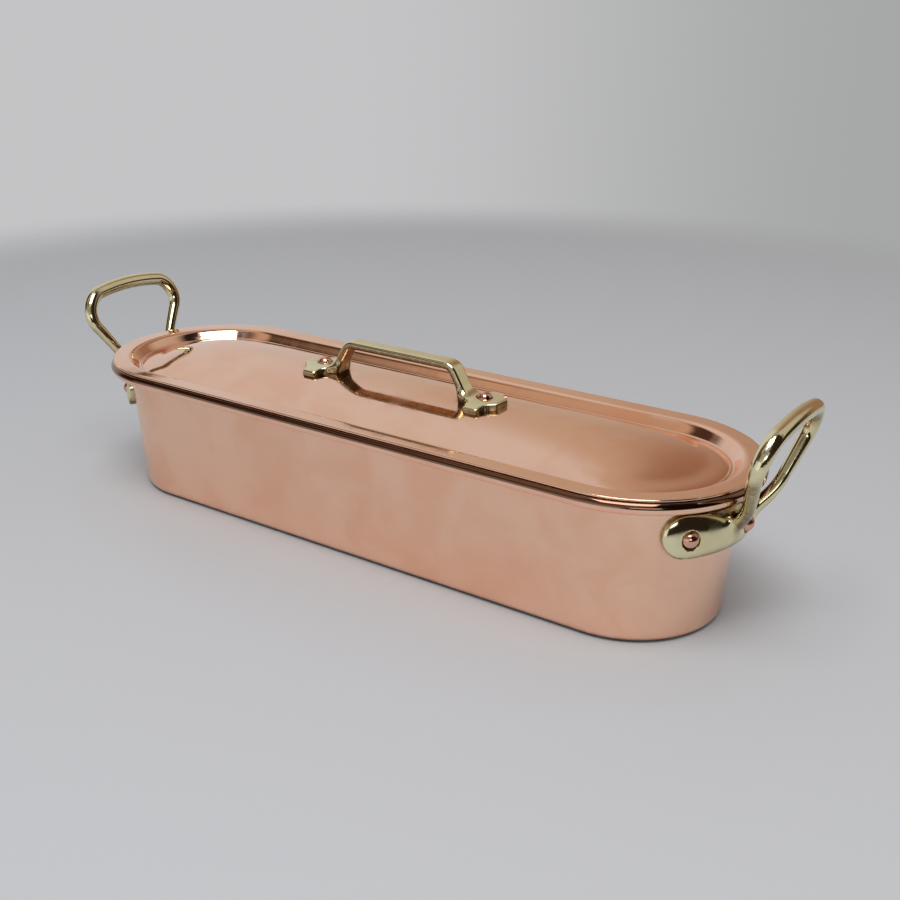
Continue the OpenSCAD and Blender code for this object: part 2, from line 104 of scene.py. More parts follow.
def filled(line, longest=4 * mm):
    out = [line[0]]
    for a, b in zip(line, line[1:]):
        parts = max(1, math.ceil(np.linalg.norm(b - a) / longest))
        out += [a + (b - a) * i / parts for i in range(1, parts + 1)]
    return out


def bent_line(points, radii, beside=0.0, steps=14):
    pts = [np.array(p, float) for p in points]
    runs = [unit(b - a) for a, b in zip(pts, pts[1:])]
    left = [np.array([-d[1], d[0]]) for d in runs]
    moved = []
    for i, p in enumerate(pts):
        n0, n1 = left[max(i - 1, 0)], left[min(i, len(left) - 1)]
        moved.append(p + beside * (n0 + n1) / (1 + n0 @ n1))
    line = [moved[0]]
    for i in range(1, len(pts) - 1):
        turn = runs[i - 1][0] * runs[i][1] - runs[i - 1][1] * runs[i][0]
        radius = max(radii[i] - math.copysign(beside, turn), 0) if radii[i] else 0
        line += corner_arc(moved[i - 1], moved[i], moved[i + 1], radius, steps)
    return filled(line + [moved[-1]])


def arc_line(middle, radius, start, end, steps):
    angles = np.radians(np.linspace(start, end, steps + 1))
    return [np.array(middle) + radius * np.array([math.cos(a), math.sin(a)]) for a in angles]


def full_turn(sides):
    return np.linspace(0, 2 * math.pi, sides, endpoint=False)


print("bend of 4 mm:", len(bent_line([(0, 0), (0.05, 0), (0.05, 0.05)], [0, 4 * mm, 0])), "points")

# %% [markdown]
# ## Pieces
# Every mesh goes through one helper. It merges the points that fall together on the middle line, turns the
# faces outwards, shades the mesh smooth, ties the piece to the body that it moves with and hides the measured
# solid that it stands for.

# %% Make a piece
def put(thing):
    bpy.context.scene.collection.objects.link(thing)
    return thing


def finished_mesh(name, points, faces, weld=2e-6):
    mesh = bpy.data.meshes.new(name)
    mesh.from_pydata(np.asarray(points, float).tolist(), [], [list(map(int, f)) for f in faces])
    work = bmesh.new()
    work.from_mesh(mesh)
    bmesh.ops.remove_doubles(work, verts=work.verts, dist=weld)
    bmesh.ops.recalc_face_normals(work, faces=work.faces)
    work.to_mesh(mesh)
    work.free()
    mesh.shade_smooth()
    return mesh


def make_piece(name, mesh, body, nodes):
    piece = put(bpy.data.objects.new(name, mesh))
    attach(piece, body)
    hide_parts(*nodes)
    print(name, len(mesh.vertices), "points")
    return piece


# %% [markdown]
# ## Round the plan
# The pan, the lid and the edge of the rack share one plan: two straight sides and two half circles. A
# section is carried once round that plan, so that the rim and the step stay true all the way round.

# %% Carry a section round the plan
def plan_stations(end_steps=96, side_steps=24):
    turn = np.linspace(-90, 90, end_steps + 1)
    run = np.linspace(half_run, -half_run, side_steps + 1)[1:-1]
    right = [(half_run, a) for a in turn]
    left = [(-half_run, a + 180) for a in turn]
    return np.array(right + [(x, 90) for x in run] + left + [(-x, 270) for x in run])


def grid_faces(rows, columns, closed=False):
    i, j = np.meshgrid(np.arange(rows), np.arange(columns if closed else columns - 1), indexing="ij")
    k, l = (i + 1) % rows, (j + 1) % columns
    return np.stack([i * columns + j, k * columns + j, k * columns + l, i * columns + l], -1).reshape(-1, 4)


def round_plan(section, closed=False):
    middle, angle = plan_stations().T
    across, height = np.array(section).T
    c, s = np.cos(np.radians(angle)), np.sin(np.radians(angle))
    points = np.stack([middle[:, None] + np.outer(c, across), np.outer(s, across),
                       np.tile(height, (len(c), 1))], -1)
    return points.reshape(-1, 3), grid_faces(len(c), len(across), closed)


def sheet_outline(path, bends, start, thick):
    return bent_line(path, bends, start) + bent_line(path, bends, start + thick)[::-1]


def sheet_piece(name, section, body, nodes, shape=np.asarray):
    points, faces = round_plan(section)
    return make_piece(name, finished_mesh(name, shape(points), faces), body, nodes)


print("plan of", len(plan_stations()), "stations")

# %% [markdown]
# ## The pan
# The wall leans out a little, turns out into a flat rim and ends in a bead that is rolled round a wire. The
# outer face, the bead and the inner face make one closed outline.

# %% Pan
base_round = 4.5 * mm
neck_round = 4 * mm
bead_radius = 4 * mm
bead_middle = (rim_radius - bead_radius, pan_height - bead_radius)
bead_start = 180 - math.degrees(math.asin((rim_under - bead_middle[1]) / bead_radius))
bead_left = bead_middle[0] + bead_radius * math.cos(math.radians(bead_start))
pan_path = [(0, 0), (base_radius, 0), (mouth_radius, rim_under), (bead_left, rim_under)]
pan_bends = [0, base_round, neck_round, 0]
pan_outline = (bent_line(pan_path, pan_bends)
               + arc_line(bead_middle, bead_radius, bead_start, 450, 64)
               + bent_line(pan_path, pan_bends, pan_sheet)[::-1])
pan = sheet_piece("pan", pan_outline, "pan", ["pan_body", "pan_base"])

# %% [markdown]
# ## The tin lining
# Bare copper isn't cooked in, so the inside is wiped with tin. The lining lies on the inner face and stops a
# little below the bend of the rim, where its edge shows as a thin line.

# %% Pan lining
lining_drop = 1 * mm
lining_top = rim_under - neck_round - pan_sheet - lining_drop
lining_end = (base_radius + wall_spread * lining_top / rim_under, lining_top)
lining_path = [(0, 0), (base_radius, 0), lining_end]
lining_outline = sheet_outline(lining_path, pan_bends, pan_sheet, lining_sheet)
pan_lining = sheet_piece("pan_lining", lining_outline, "pan", ["pan_lining"])

# %% [markdown]
# ## The lid
# The lid lies on the rim with a flat flange, steps down into the mouth of the pan and rises again in a dome.
# The step was hammered over a stake, so its crest is widely rounded and its slope is gentle.
# Where the straight vault of the dome runs into its round ends, the curve would change suddenly and the
# mirror image in the copper would break there. A hand-raised lid has no such line, so the height is averaged
# along the length, fading to nothing at the dome's edge.

# %% Lid
lid_sheet = 1.5 * mm
lid_play = 0.65 * mm
crest_out = 2.35 * mm
crest_round = 6 * mm
panel_round = 2 * mm
step_run = 6.1 * mm
step_depth = 7.5 * mm
crown_rise = 14 * mm
lid_radius = lid_high.y
dome_top = lid_high.z
dome_edge = dome_top - crown_rise
lid_top = dome_edge + step_depth
step_radius = mouth_radius - pan_sheet - lid_sheet - lid_play + crest_out
dome_radius = step_radius - step_run
crown = (dome_radius ** 2 + crown_rise ** 2) / (2 * crown_rise)
crown_turn = math.degrees(math.asin(dome_radius / crown))
dome_line = arc_line((0, dome_top - crown), crown, 90 - crown_turn, 90, 40)
lid_path = [(lid_radius, lid_top), (step_radius, lid_top)] + dome_line
lid_bends = [0, crest_round, panel_round] + [0] * (len(lid_path) - 3)


def dome_drop(x, y):
    away = np.hypot(np.maximum(np.abs(x) - half_run, 0), y)
    return crown - np.sqrt(np.maximum(crown ** 2 - away ** 2, 0)), away


def eased_dome(points, reach=24 * mm, fade=16 * mm, margin=1.5 * mm):
    x, y = points[:, 0], points[:, 1]
    plain, away = dome_drop(x, y)
    offsets = np.linspace(-2.5, 2.5, 25)
    weights = np.exp(-offsets ** 2 / 2)
    eased = sum(w * dome_drop(x + o * reach, y)[0] for o, w in zip(offsets, weights)) / weights.sum()
    share = np.clip((dome_radius - margin - away) / fade, 0, 1)
    points[:, 2] -= (eased - plain) * share ** 2 * (3 - 2 * share)
    return points


lid_edge = 0.46 * lid_sheet
flange_inner = lid_radius - 5 * mm
flange_under = lid_top - lid_sheet
edge_corners = [np.array(p) for p in ((flange_inner, lid_top), (lid_radius, lid_top),
                                      (lid_radius, flange_under), (flange_inner, flange_under))]
rounded_edge = corner_arc(*edge_corners[:3], lid_edge, 6) + corner_arc(*edge_corners[1:], lid_edge, 6)
lid_outline = (bent_line(lid_path, lid_bends)[:0:-1] + rounded_edge
               + bent_line(lid_path, lid_bends, lid_sheet)[1:])
lid = sheet_piece("lid", lid_outline, "lid", ["lid_shell"], eased_dome)

# %% [markdown]
# The underside of the lid is tinned as well, from the step inwards.

# %% Lid lining
step_share = 0.35
lid_lining_path = [(step_radius - step_run * step_share, lid_top - step_depth * step_share)] + dome_line
lid_lining_outline = sheet_outline(lid_lining_path, lid_bends[1:], lid_sheet, lining_sheet)
lid_lining = sheet_piece("lid_lining", lid_lining_outline, "lid", ["lid_lining"], eased_dome)

# %% [markdown]
# ## Cast forms
# The brass handles are castings: a bar runs into a foot with a soft fillet, and no edge is sharp. A blunt
# joined mesh is remeshed into even small faces first. Then each point is moved onto an exact surface, which
# is the distance to the bar blended with the distance to the foot. The slope of that distance also gives the
# shading normals, so the polished metal reflects without a ripple.

# %% Distances for cast forms
def blend(a, slope_a, b, slope_b, reach):
    share = np.clip(0.5 + 0.5 * (b - a) / reach, 0, 1)
    distance = b + (a - b) * share - reach * share * (1 - share)
    return distance, slope_b + (slope_a - slope_b) * share[:, None]


def common(a, slope_a, b, slope_b, reach):
    distance, slope = blend(-a, -slope_a, -b, -slope_b, reach)
    return -distance, -slope


def lengths(vectors):
    return np.maximum(np.linalg.norm(vectors, axis=1), 1e-9)


def nearest_on_line(points, line, batch=4000):
    start, run = line[:-1], np.diff(line, axis=0)
    place, along = np.empty_like(points), np.empty(len(points))
    for first in range(0, len(points), batch):
        p = points[first:first + batch]
        share = np.clip(((p[:, None] - start) * run).sum(2) / (run ** 2).sum(1), 0, 1)
        spots = start + share[..., None] * run
        best = ((p[:, None] - spots) ** 2).sum(2).argmin(1)
        rows = np.arange(len(p))
        place[first:first + batch] = spots[rows, best]
        along[first:first + batch] = best + share[rows, best]
    return place, along


def skin(rings):
    n, m = len(rings), len(rings[0])
    i, j = np.meshgrid(np.arange(n - 1), np.arange(m), indexing="ij")
    k = (j + 1) % m
    faces = np.stack([i * m + j, i * m + k, (i + 1) * m + k, (i + 1) * m + j], -1).reshape(-1, 4).tolist()
    faces += [list(range(m)), list(range((n - 1) * m, n * m))]
    return np.concatenate(rings), faces


def joined(parts):
    points, faces, first = [], [], 0
    for part_points, part_faces in parts:
        points.append(part_points)
        faces += [[first + int(k) for k in f] for f in part_faces]
        first += len(part_points)
    return np.concatenate(points), faces


def worked_out(holder):
    put(holder)
    mesh = bpy.data.meshes.new_from_object(holder.evaluated_get(bpy.context.evaluated_depsgraph_get()))
    bpy.data.objects.remove(holder)
    flat = np.empty(len(mesh.vertices) * 3)
    mesh.vertices.foreach_get("co", flat)
    return mesh, flat.reshape(-1, 3)


def cast_mesh(name, solids, field, grain, rounds=5, least_steep=0.2):
    blunt = bpy.data.objects.new(name + "_blunt", finished_mesh(name, *joined(solids)))
    remesh = blunt.modifiers.new("even", "REMESH")
    remesh.mode = "VOXEL"
    remesh.voxel_size = grain
    mesh, spots = worked_out(blunt)
    for _ in range(rounds):
        distance, slope = field(spots)
        steep = np.maximum((slope ** 2).sum(1), least_steep)
        spots = spots - np.clip(distance / steep, -grain, grain)[:, None] * slope
    slope = field(spots)[1]
    mesh.vertices.foreach_set("co", spots.ravel())
    mesh.shade_smooth()
    return mesh, spots, slope / np.linalg.norm(slope, axis=1)[:, None]


crisp = 0.05 * mm
seat_crisp = 0.1 * mm
print("casting helpers ready")

# %% [markdown]
# ## The loop of an end handle
# The loop stands on the foot, passes the rim bead with room for a cloth, leans away from the pan and bows up
# in its middle, where the grip is thickest. Its middle line is drawn flat, then leaned over.

# %% Loop of the end handle
grip_width = 104 * mm
grip_height = 38 * mm
grip_bow = 8.6 * mm
grip_lean = math.radians(15.4)
grip_round = 12.8 * mm
grip_radius = 4.9 * mm
leg_radius = 3.7 * mm
leg_flare = 0.6 * mm
leg_gap = 53 * mm
leg_clear = 4.8 * mm
leg_root = -21.5 * mm
foot_middle = 70 * mm
foot_thick = 10 * mm
foot_wall = base_radius + wall_spread * foot_middle / rim_under
leg_slope = (grip_width - leg_gap) / 2 / grip_height
loop_reach = math.sqrt((rim_radius + leg_clear + leg_radius) ** 2 - leg_gap ** 2 / 4)
hook = (loop_reach + leg_root * math.sin(grip_lean) - foot_wall - foot_thick / 2) / leg_root ** 2
root_corner = [np.array(p) for p in ((leg_gap / 2, 0), (grip_width / 2, grip_height), (0, grip_height))]
rising = [np.array([leg_gap / 2 + leg_slope * v, v]) for v in np.linspace(leg_root, grip_height * 0.45, 26)]
grip_middle = np.array([0, grip_height])
half_loop = np.array(filled(rising + corner_arc(*root_corner, grip_round, 18) + [grip_middle], 1.6 * mm))
flat_loop = np.concatenate([half_loop, half_loop[-2::-1] * [-1, 1]])
lift = grip_bow * np.maximum(flat_loop[:, 1] / grip_height, 0)
up = flat_loop[:, 1] + lift * (1 - (2 * flat_loop[:, 0] / grip_width) ** 2)
loop_line = np.stack([loop_reach + up * math.sin(grip_lean) - hook * np.minimum(up, 0) ** 2,
                      flat_loop[:, 0], bead_middle[1] + up * math.cos(grip_lean)], -1)
loop_radius = np.where(up < 0, leg_radius + leg_flare * (up / leg_root) ** 2,
                       leg_radius + (grip_radius - leg_radius) * np.clip(up / grip_height, 0, 1))


def loop_field(points):
    place, along = nearest_on_line(points, loop_line)
    away = points - place
    distance = lengths(away)
    return distance - np.interp(along, np.arange(len(loop_line)), loop_radius), away / distance[:, None]


def tube_rings(line, radius, across, sides=20):
    rings = []
    for i, place in enumerate(line):
        along = unit(line[min(i + 1, len(line) - 1)] - line[max(i - 1, 0)])
        side = unit(across - (across @ along) * along)
        other = np.cross(along, side)
        turn = full_turn(sides)
        rings.append(place + radius[i] * (np.outer(np.cos(turn), side) + np.outer(np.sin(turn), other)))
    return rings


loop_across = np.array([math.cos(grip_lean), 0, -math.sin(grip_lean)])
loop_solid = skin(tube_rings(loop_line, loop_radius, loop_across))
print("loop of", len(loop_line), "places, reaching", round((half_run + loop_line[:, 0].max()) / mm, 1), "mm")

# %% [markdown]
# ## The foot of an end handle
# The foot is a cushion wrapped round the tapered end of the pan. It is laid out on the wall itself: along the
# wall round the end, down the wall, and straight out of it. Its top is a half ellipse above a low edge, high in
# the middle under the legs and lower at both ends. It leans back a little towards its upper edge, and three flat
# seats are cut into it for the rivet heads.

# %% Foot of the end handle
wall_lean = math.atan2(wall_spread, rim_under)
foot_half = 13 * mm
foot_edge = 3 * mm
foot_tip_thick = 6 * mm
foot_turn = math.radians(37.4)
foot_sink = 0.4 * mm
foot_tilt = math.tan(math.radians(8))
rivet_turn = math.radians(36)
rivet_drop = 0.8 * mm
rivet_head = 5.1 * mm
seat_play = 0.3 * mm
seat_depth = 1 * mm
seat_lip = 0.5 * mm
foot_fillet = 5 * mm
down_wall = np.array([-math.sin(wall_lean), -math.cos(wall_lean)])
out_wall = np.array([math.cos(wall_lean), -math.sin(wall_lean)])


def turned(vector, round_z):
    flat = vector[0]
    return np.stack([flat * np.cos(round_z), flat * np.sin(round_z), np.full_like(round_z, vector[1])], -1)


def wall_axes(angle):
    one = np.full(1, angle)
    side = np.array([-math.sin(angle), math.cos(angle), 0])
    return np.array([turned(down_wall, one)[0], side, turned(out_wall, one)[0]])


def on_wall(points):
    angle = np.arctan2(points[:, 1], points[:, 0])
    spread = np.hypot(points[:, 0], points[:, 1])
    place = np.stack([spread - foot_wall, points[:, 2] - foot_middle], -1)
    sideways = np.stack([-np.sin(angle), np.cos(angle), np.zeros_like(angle)], -1) * (foot_wall / spread)[:, None]
    return (angle * foot_wall, place @ down_wall, place @ out_wall,
            sideways, turned(down_wall, angle), turned(out_wall, angle))


def thick_at(angle):
    share = np.minimum(np.abs(angle) / foot_turn, 1) * math.pi / 2
    return foot_tip_thick + (foot_thick - foot_tip_thick) * np.cos(share)


def foot_field(points):
    along, down, out, to_side, to_down, to_out = on_wall(points)
    under, to_under = -(out + foot_sink), -to_out
    out, to_out = out - foot_tilt * down, to_out - foot_tilt * to_down
    reach = foot_turn * foot_wall
    past = np.maximum(np.abs(along) - reach, 0)
    edge = np.maximum(np.hypot(past, down), 1e-9)
    to_edge = (past * np.sign(along) / edge)[:, None] * to_side + (down / edge)[:, None] * to_down
    tall = thick_at(along / foot_wall) - foot_edge
    rise = np.maximum(out - foot_edge, 0) / tall
    size = np.maximum(np.hypot(edge / foot_half, rise), 1e-9)
    share = np.clip(along / reach, -1, 1) * math.pi / 2
    fall = np.where(past > 0, 0, (foot_thick - foot_tip_thick) * math.pi / 2 / reach * np.sin(share))
    pull_edge, pull_out = edge / foot_half ** 2 / size, rise / tall / size
    pull_side = pull_out * rise * fall
    steep = np.sqrt(pull_edge ** 2 + pull_out ** 2 + pull_side ** 2)
    distance = (size - 1) / steep
    slope = ((pull_edge / steep)[:, None] * to_edge + (pull_out / steep)[:, None] * to_out
             + (pull_side / steep)[:, None] * to_side)
    return common(distance, slope, under, to_under, crisp)


def rivet_spot(angle):
    axes = wall_axes(angle)
    on_round = np.array([foot_wall * math.cos(angle), foot_wall * math.sin(angle), foot_middle])
    return on_round + rivet_drop * axes[0], axes


def cut_seat(distance, slope, points, place, axes, seat_height, lip):
    down, side, out = axes
    local = points - place
    d, a, n = local @ down, local @ side, local @ out
    spread = np.maximum(np.hypot(d, a), 1e-9)
    round_slope = (d / spread)[:, None] * down + (a / spread)[:, None] * side
    cut, cut_slope = common(spread - rivet_head - seat_play, round_slope,
                            seat_height - n, np.tile(-out, (len(n), 1)), seat_crisp)
    return common(distance, slope, -cut, -cut_slope, lip)


def end_handle_field(points):
    distance, slope = blend(*loop_field(points), *foot_field(points), foot_fillet)
    for angle in (-rivet_turn, 0.0, rivet_turn):
        seat_height = thick_at(angle) - seat_depth
        distance, slope = cut_seat(distance, slope, points, *rivet_spot(angle), seat_height, seat_lip)
    return distance, slope


def foot_ring(spread, share):
    cap = np.radians(np.linspace(-90, 90, 25))
    end = np.stack([foot_turn * foot_wall + spread * np.cos(cap), spread * np.sin(cap)], -1)
    run = np.stack([np.linspace(1, -1, 41)[1:-1] * foot_turn * foot_wall, np.full(39, spread)], -1)
    along, down = np.concatenate([end, run, -end, -run]).T
    angle = along / foot_wall
    thick = foot_edge + share * (thick_at(angle) - foot_edge) if share >= 0 else np.full(len(angle), -foot_sink)
    place = np.array([foot_wall, foot_middle]) + np.outer(down, down_wall) + np.outer(thick, out_wall)
    return np.stack([place[:, 0] * np.cos(angle), place[:, 0] * np.sin(angle), place[:, 1]], -1)


cushion = [(foot_half * math.sin(t), math.cos(t)) for t in np.linspace(1.57, 0.02, 14)]
foot_solid = skin([foot_ring(s, h) for s, h in [(0.2 * mm, -1), (foot_half, -1)] + cushion])
print("foot wraps", round(math.degrees(2 * foot_turn)), "degrees of the end")

# %% [markdown]
# Both end handles come from one mould. The right one is cast, and the left one is its mirror image, with the
# order of every face turned round so that it still faces outwards.

# %% Cast both end handles
handle_grain = 0.7 * mm
handle_mesh, handle_points, handle_normals = cast_mesh("right_handle", [loop_solid, foot_solid],
                                                       end_handle_field, handle_grain)
handle_faces = [list(p.vertices) for p in handle_mesh.polygons]
end_handles = {}
for end, side in ends:
    name = end + "_handle"
    mesh = bpy.data.meshes.new(name)
    places = (handle_points + [half_run, 0, 0]) * [side, 1, 1]
    mesh.from_pydata(places.tolist(), [], [f[::side] for f in handle_faces])
    mesh.shade_smooth()
    mesh.normals_split_custom_set_from_vertices((handle_normals * [side, 1, 1]).tolist())
    end_handles[name] = make_piece(name + "_casting", mesh, "pan", [name])

# %% [markdown]
# ## The lid handle
# The lid handle is a flat bar on two splayed legs. Each leg runs out into a foot with hollow sides, square
# shoulders and a blunt tip. The foot's top is rounded over across the dome and its underside lies on the dome.

# %% Lid handle
bar_half = 42 * mm
bar_rise = 21.5 * mm
bar_wide = 6.2 * mm
bar_thin = 2.7 * mm
bar_edge = 2.5 * mm
lid_rivet_x = 66 * mm
lid_foot_thick = 4 * mm
lid_foot_half = 18.5 * mm
lid_foot_crown = 72 * mm
lid_foot_edge = 1.6 * mm
lid_foot_sink = 0.3 * mm
lid_foot_rise = 0.5 * mm
lid_seat_lip = 0.4 * mm
bar_fillet = 6 * mm
bar_sink = 2.4 * mm
leg_bend, bar_bend = 4 * mm, 7 * mm
lid_seat = dome_top + lid_foot_thick
lid_foot_top = lid_seat + lid_foot_rise
bar_top = dome_top + bar_rise
bar_low = lid_seat - bar_thin - bar_sink
bar_end, leg_foot = lid_rivet_x - 6 * mm, lid_rivet_x - 10.5 * mm
bar_corners = [np.array(p) for p in ((bar_end, bar_low), (leg_foot, bar_low), (bar_half, bar_top), (0, bar_top))]
half_bar = filled([bar_corners[0]] + corner_arc(*bar_corners[:3], leg_bend, 12)
                  + corner_arc(*bar_corners[1:], bar_bend, 14) + [bar_corners[3]], 2 * mm)
bar_flat = np.array(half_bar + [p * [-1, 1] for p in half_bar[-2::-1]])
bar_line = np.stack([bar_flat[:, 0], np.zeros(len(bar_flat)), bar_flat[:, 1]], -1)


def bar_field(points):
    flat = points * [1, 0, 1]
    away = flat - nearest_on_line(flat, bar_line)[0]
    height = lengths(away)
    wide = np.abs(points[:, 1]) - (bar_wide - bar_edge)
    thin = height - (bar_thin - bar_edge)
    corner = np.hypot(np.maximum(wide, 0), np.maximum(thin, 0))
    distance = corner + np.minimum(np.maximum(wide, thin), 0) - bar_edge
    pull_wide = np.where(corner > 0, np.maximum(wide, 0) / np.maximum(corner, 1e-9), (wide > thin) * 1.0)
    pull_thin = np.where(corner > 0, np.maximum(thin, 0) / np.maximum(corner, 1e-9), (wide <= thin) * 1.0)
    to_side = np.stack([np.zeros(len(points)), np.sign(points[:, 1]), np.zeros(len(points))], -1)
    return distance, pull_wide[:, None] * to_side + (pull_thin / height)[:, None] * away


def bar_ring(i):
    along = unit(bar_line[min(i + 1, len(bar_line) - 1)] - bar_line[max(i - 1, 0)])
    side, other = np.array([0, 1.0, 0]), np.cross(along, [0, 1.0, 0])
    signs = [(1, 1), (-1, 1), (-1, -1), (1, -1)]
    return np.array([bar_line[i] + a * bar_wide * side + b * bar_thin * other for a, b in signs])


bar_solid = skin([bar_ring(i) for i in range(len(bar_line))])
print("lid handle bar of", len(bar_line), "places")

# %% [markdown]
# The outline of a lid foot is a plan seen from above. The hollow from the leg out to the shoulder is a quarter of
# an ellipse, and the one from the shoulder in to the tip is a shorter sweep.

# %% Feet of the lid handle
foot_inner, foot_neck = lid_rivet_x - 15.5 * mm, lid_rivet_x - 5.5 * mm
foot_shoulder, foot_tip = lid_rivet_x + 5.5 * mm, lid_rivet_x + 12 * mm
shoulder_ease = 1.2 * mm
shoulder_half = lid_foot_half - shoulder_ease
inner_half = 1.1 * bar_wide
tip_half = 7 * mm
quarter = np.radians(np.linspace(0, 90, 13))
sweep = np.radians(np.linspace(0, 45, 13))
half_outline = [(foot_inner + (foot_neck - foot_inner) * math.sin(a),
                 inner_half + (shoulder_half - inner_half) * (1 - math.cos(a))) for a in quarter]
half_outline += [(foot_neck + shoulder_ease, lid_foot_half), (foot_shoulder - shoulder_ease, lid_foot_half)]
half_outline += [(foot_shoulder + (foot_tip - foot_shoulder) * (1 - math.cos(a)) / (1 - math.cos(sweep[-1])),
                  tip_half + (shoulder_half - tip_half) * (1 - math.sin(a) / math.sin(sweep[-1]))) for a in sweep]
half_outline.append((foot_tip + shoulder_ease, tip_half - shoulder_ease))
lid_foot_plan = np.array(half_outline + [(x, -y) for x, y in half_outline[::-1]])


def plan_field(points):
    flat = np.stack([np.abs(points[:, 0]), points[:, 1]], -1)
    ring = np.concatenate([lid_foot_plan, lid_foot_plan[:1]])
    away = flat - nearest_on_line(flat, ring)[0]
    distance = lengths(away)
    inside = np.zeros(len(flat), bool)
    for (ax, ay), (bx, by) in zip(ring, ring[1:]):
        if ay != by:
            crossed = (ay > flat[:, 1]) != (by > flat[:, 1])
            inside ^= crossed & (flat[:, 0] < ax + (flat[:, 1] - ay) / (by - ay) * (bx - ax))
    sign = np.where(inside, -1.0, 1.0)
    slope = sign[:, None] * away / distance[:, None]
    return sign * distance, np.stack([slope[:, 0] * np.sign(points[:, 0]), slope[:, 1], np.zeros(len(flat))], -1)


def vault_field(points, radius, top):
    from_axis = points - np.array([0, 0, top - radius])
    from_axis[:, 0] = 0
    spread = lengths(from_axis)
    return spread - radius, from_axis / spread[:, None]


def lid_handle_field(points):
    plan = plan_field(points)
    top = vault_field(points, lid_foot_crown, lid_foot_top)
    under, under_slope = vault_field(points, crown, dome_top)
    distance, slope = common(*plan, *top, lid_foot_edge)
    distance, slope = blend(*bar_field(points), distance, slope, bar_fillet)
    distance, slope = common(distance, slope, -(under + lid_foot_sink), -under_slope, crisp)
    for side in (-1, 1):
        place = np.array([side * lid_rivet_x, 0, 0])
        distance, slope = cut_seat(distance, slope, points, place, np.eye(3), lid_seat, lid_seat_lip)
    return distance, slope


lid_feet = []
for side in (1, -1):
    rings = [np.stack([side * lid_foot_plan[:, 0], lid_foot_plan[:, 1], np.full(len(lid_foot_plan), z)], -1)
             for z in (dome_top - 2 * mm, lid_foot_top)]
    lid_feet.append(skin(rings))
bar_grain = 0.5 * mm
lid_handle_mesh, _, bar_normals = cast_mesh("lid_handle", [bar_solid] + lid_feet, lid_handle_field, bar_grain)
lid_handle_mesh.normals_split_custom_set_from_vertices(bar_normals.tolist())
lid_handle = make_piece("lid_handle_casting", lid_handle_mesh, "lid", ["lid_handle"])

# %% [markdown]
# ## Rivets
# A rivet is a turned form: a domed head on the casting's seat, a shank through the sheet and a flat head on
# the inside. One profile is revolved and set on each seat.

# %% Rivets
rivet_dome = 4.2 * mm
rivet_shank = 3 * mm
rivet_inner = 1.2 * mm
rivet_sink = 0.2 * mm
rivet_sizes = (rivet_head, rivet_dome, rivet_shank, rivet_inner + rivet_sink)


def rivet_points(seat, skin_depth, head, dome, shank, inner, sides=48):
    ball = (head ** 2 + dome ** 2) / (2 * dome)
    sweep = math.degrees(math.asin(head / ball))
    profile = arc_line((0, seat + dome - ball), ball, 90, 90 - sweep, 20)
    profile += [np.array(p) for p in ((shank, seat), (shank, -skin_depth), (head, -skin_depth + 0.3 * mm),
                                      (head, -skin_depth - inner * 0.7), (head * 0.93, -skin_depth - inner),
                                      (0, -skin_depth - inner))]
    across, height = np.array(profile).T
    turn = full_turn(sides)
    points = np.stack([np.outer(np.cos(turn), across), np.outer(np.sin(turn), across),
                       np.tile(height, (sides, 1))], -1)
    return points.reshape(-1, 3), grid_faces(sides, len(across))


def set_rivet(name, points, faces, place, axes, body, slot):
    mesh = finished_mesh(name, place + points @ axes, faces)
    mesh.set_sharp_from_angle(angle=math.radians(50))
    return make_piece(name + "_turned", mesh, body, [name])


rivets = []
for end, mirror in ends:
    for place_name, angle in (("front", -rivet_turn), ("middle", 0.0), ("back", rivet_turn)):
        spot, axes = rivet_spot(angle)
        flip = np.array([mirror, 1, 1])
        end_rivet = rivet_points(thick_at(angle) - seat_depth, pan_sheet + lining_sheet - rivet_sink, *rivet_sizes)
        rivets.append(set_rivet("%s_%s_rivet" % (end, place_name), *end_rivet,
                                (spot + [half_run, 0, 0]) * flip, axes * flip, "pan", "rivet"))
lid_rivet = rivet_points(lid_foot_thick, lid_sheet + lining_sheet - rivet_sink, *rivet_sizes)
for end, sign in ends:
    rivets.append(set_rivet("lid_%s_rivet" % end, *lid_rivet, np.array([sign * lid_rivet_x, 0, dome_top]),
                            np.eye(3), "lid", "rivet"))
print(len(rivets), "rivets set")

# %% [markdown]
# ## The lifting rack
# The fish lies on a perforated plate that is lifted out by two bent rods. The flat of the plate is a filled
# curve with a hole for each drain, because Blender then rounds the edge of every hole by itself. The edge
# that is turned down to stand on the floor of the pan is carried round the plan like the rim.

# %% Rack plate
rack_sheet = 1.2 * mm
rack_radius = rack_high.y
rack_top = rack_high.z
rack_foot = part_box("rack_plate")[0].z
drain_radius = 3.5 * mm
drain_pitch = 22 * mm
drain_row = 0.85 * drain_pitch
drain_columns = 9
deck_inset = 5 * mm
deck_radius = rack_radius - deck_inset
rack_bend = 2 * mm
deck_edge = 0.2 * mm
deck_lap = 0.6 * mm


def filled_plate(name, outlines, thick, edge):
    curve = bpy.data.curves.new(name, "CURVE")
    curve.dimensions = "2D"
    curve.fill_mode = "BOTH"
    curve.extrude = thick / 2 - edge
    curve.bevel_depth = edge
    curve.bevel_resolution = 2
    curve.offset = -edge
    for outline in outlines:
        spline = curve.splines.new("POLY")
        spline.points.add(len(outline) - 1)
        spline.points.foreach_set("co", np.c_[outline, np.zeros(len(outline)), np.ones(len(outline))].ravel())
        spline.use_cyclic_u = True
    mesh, points = worked_out(bpy.data.objects.new(name, curve))
    return points, [list(p.vertices) for p in mesh.polygons]


def slot_outline(half, radius, steps=48):
    turn = np.radians(np.linspace(-90, 90, steps + 1))
    end = np.stack([half + radius * np.cos(turn), radius * np.sin(turn)], -1)
    return np.concatenate([end, -end])


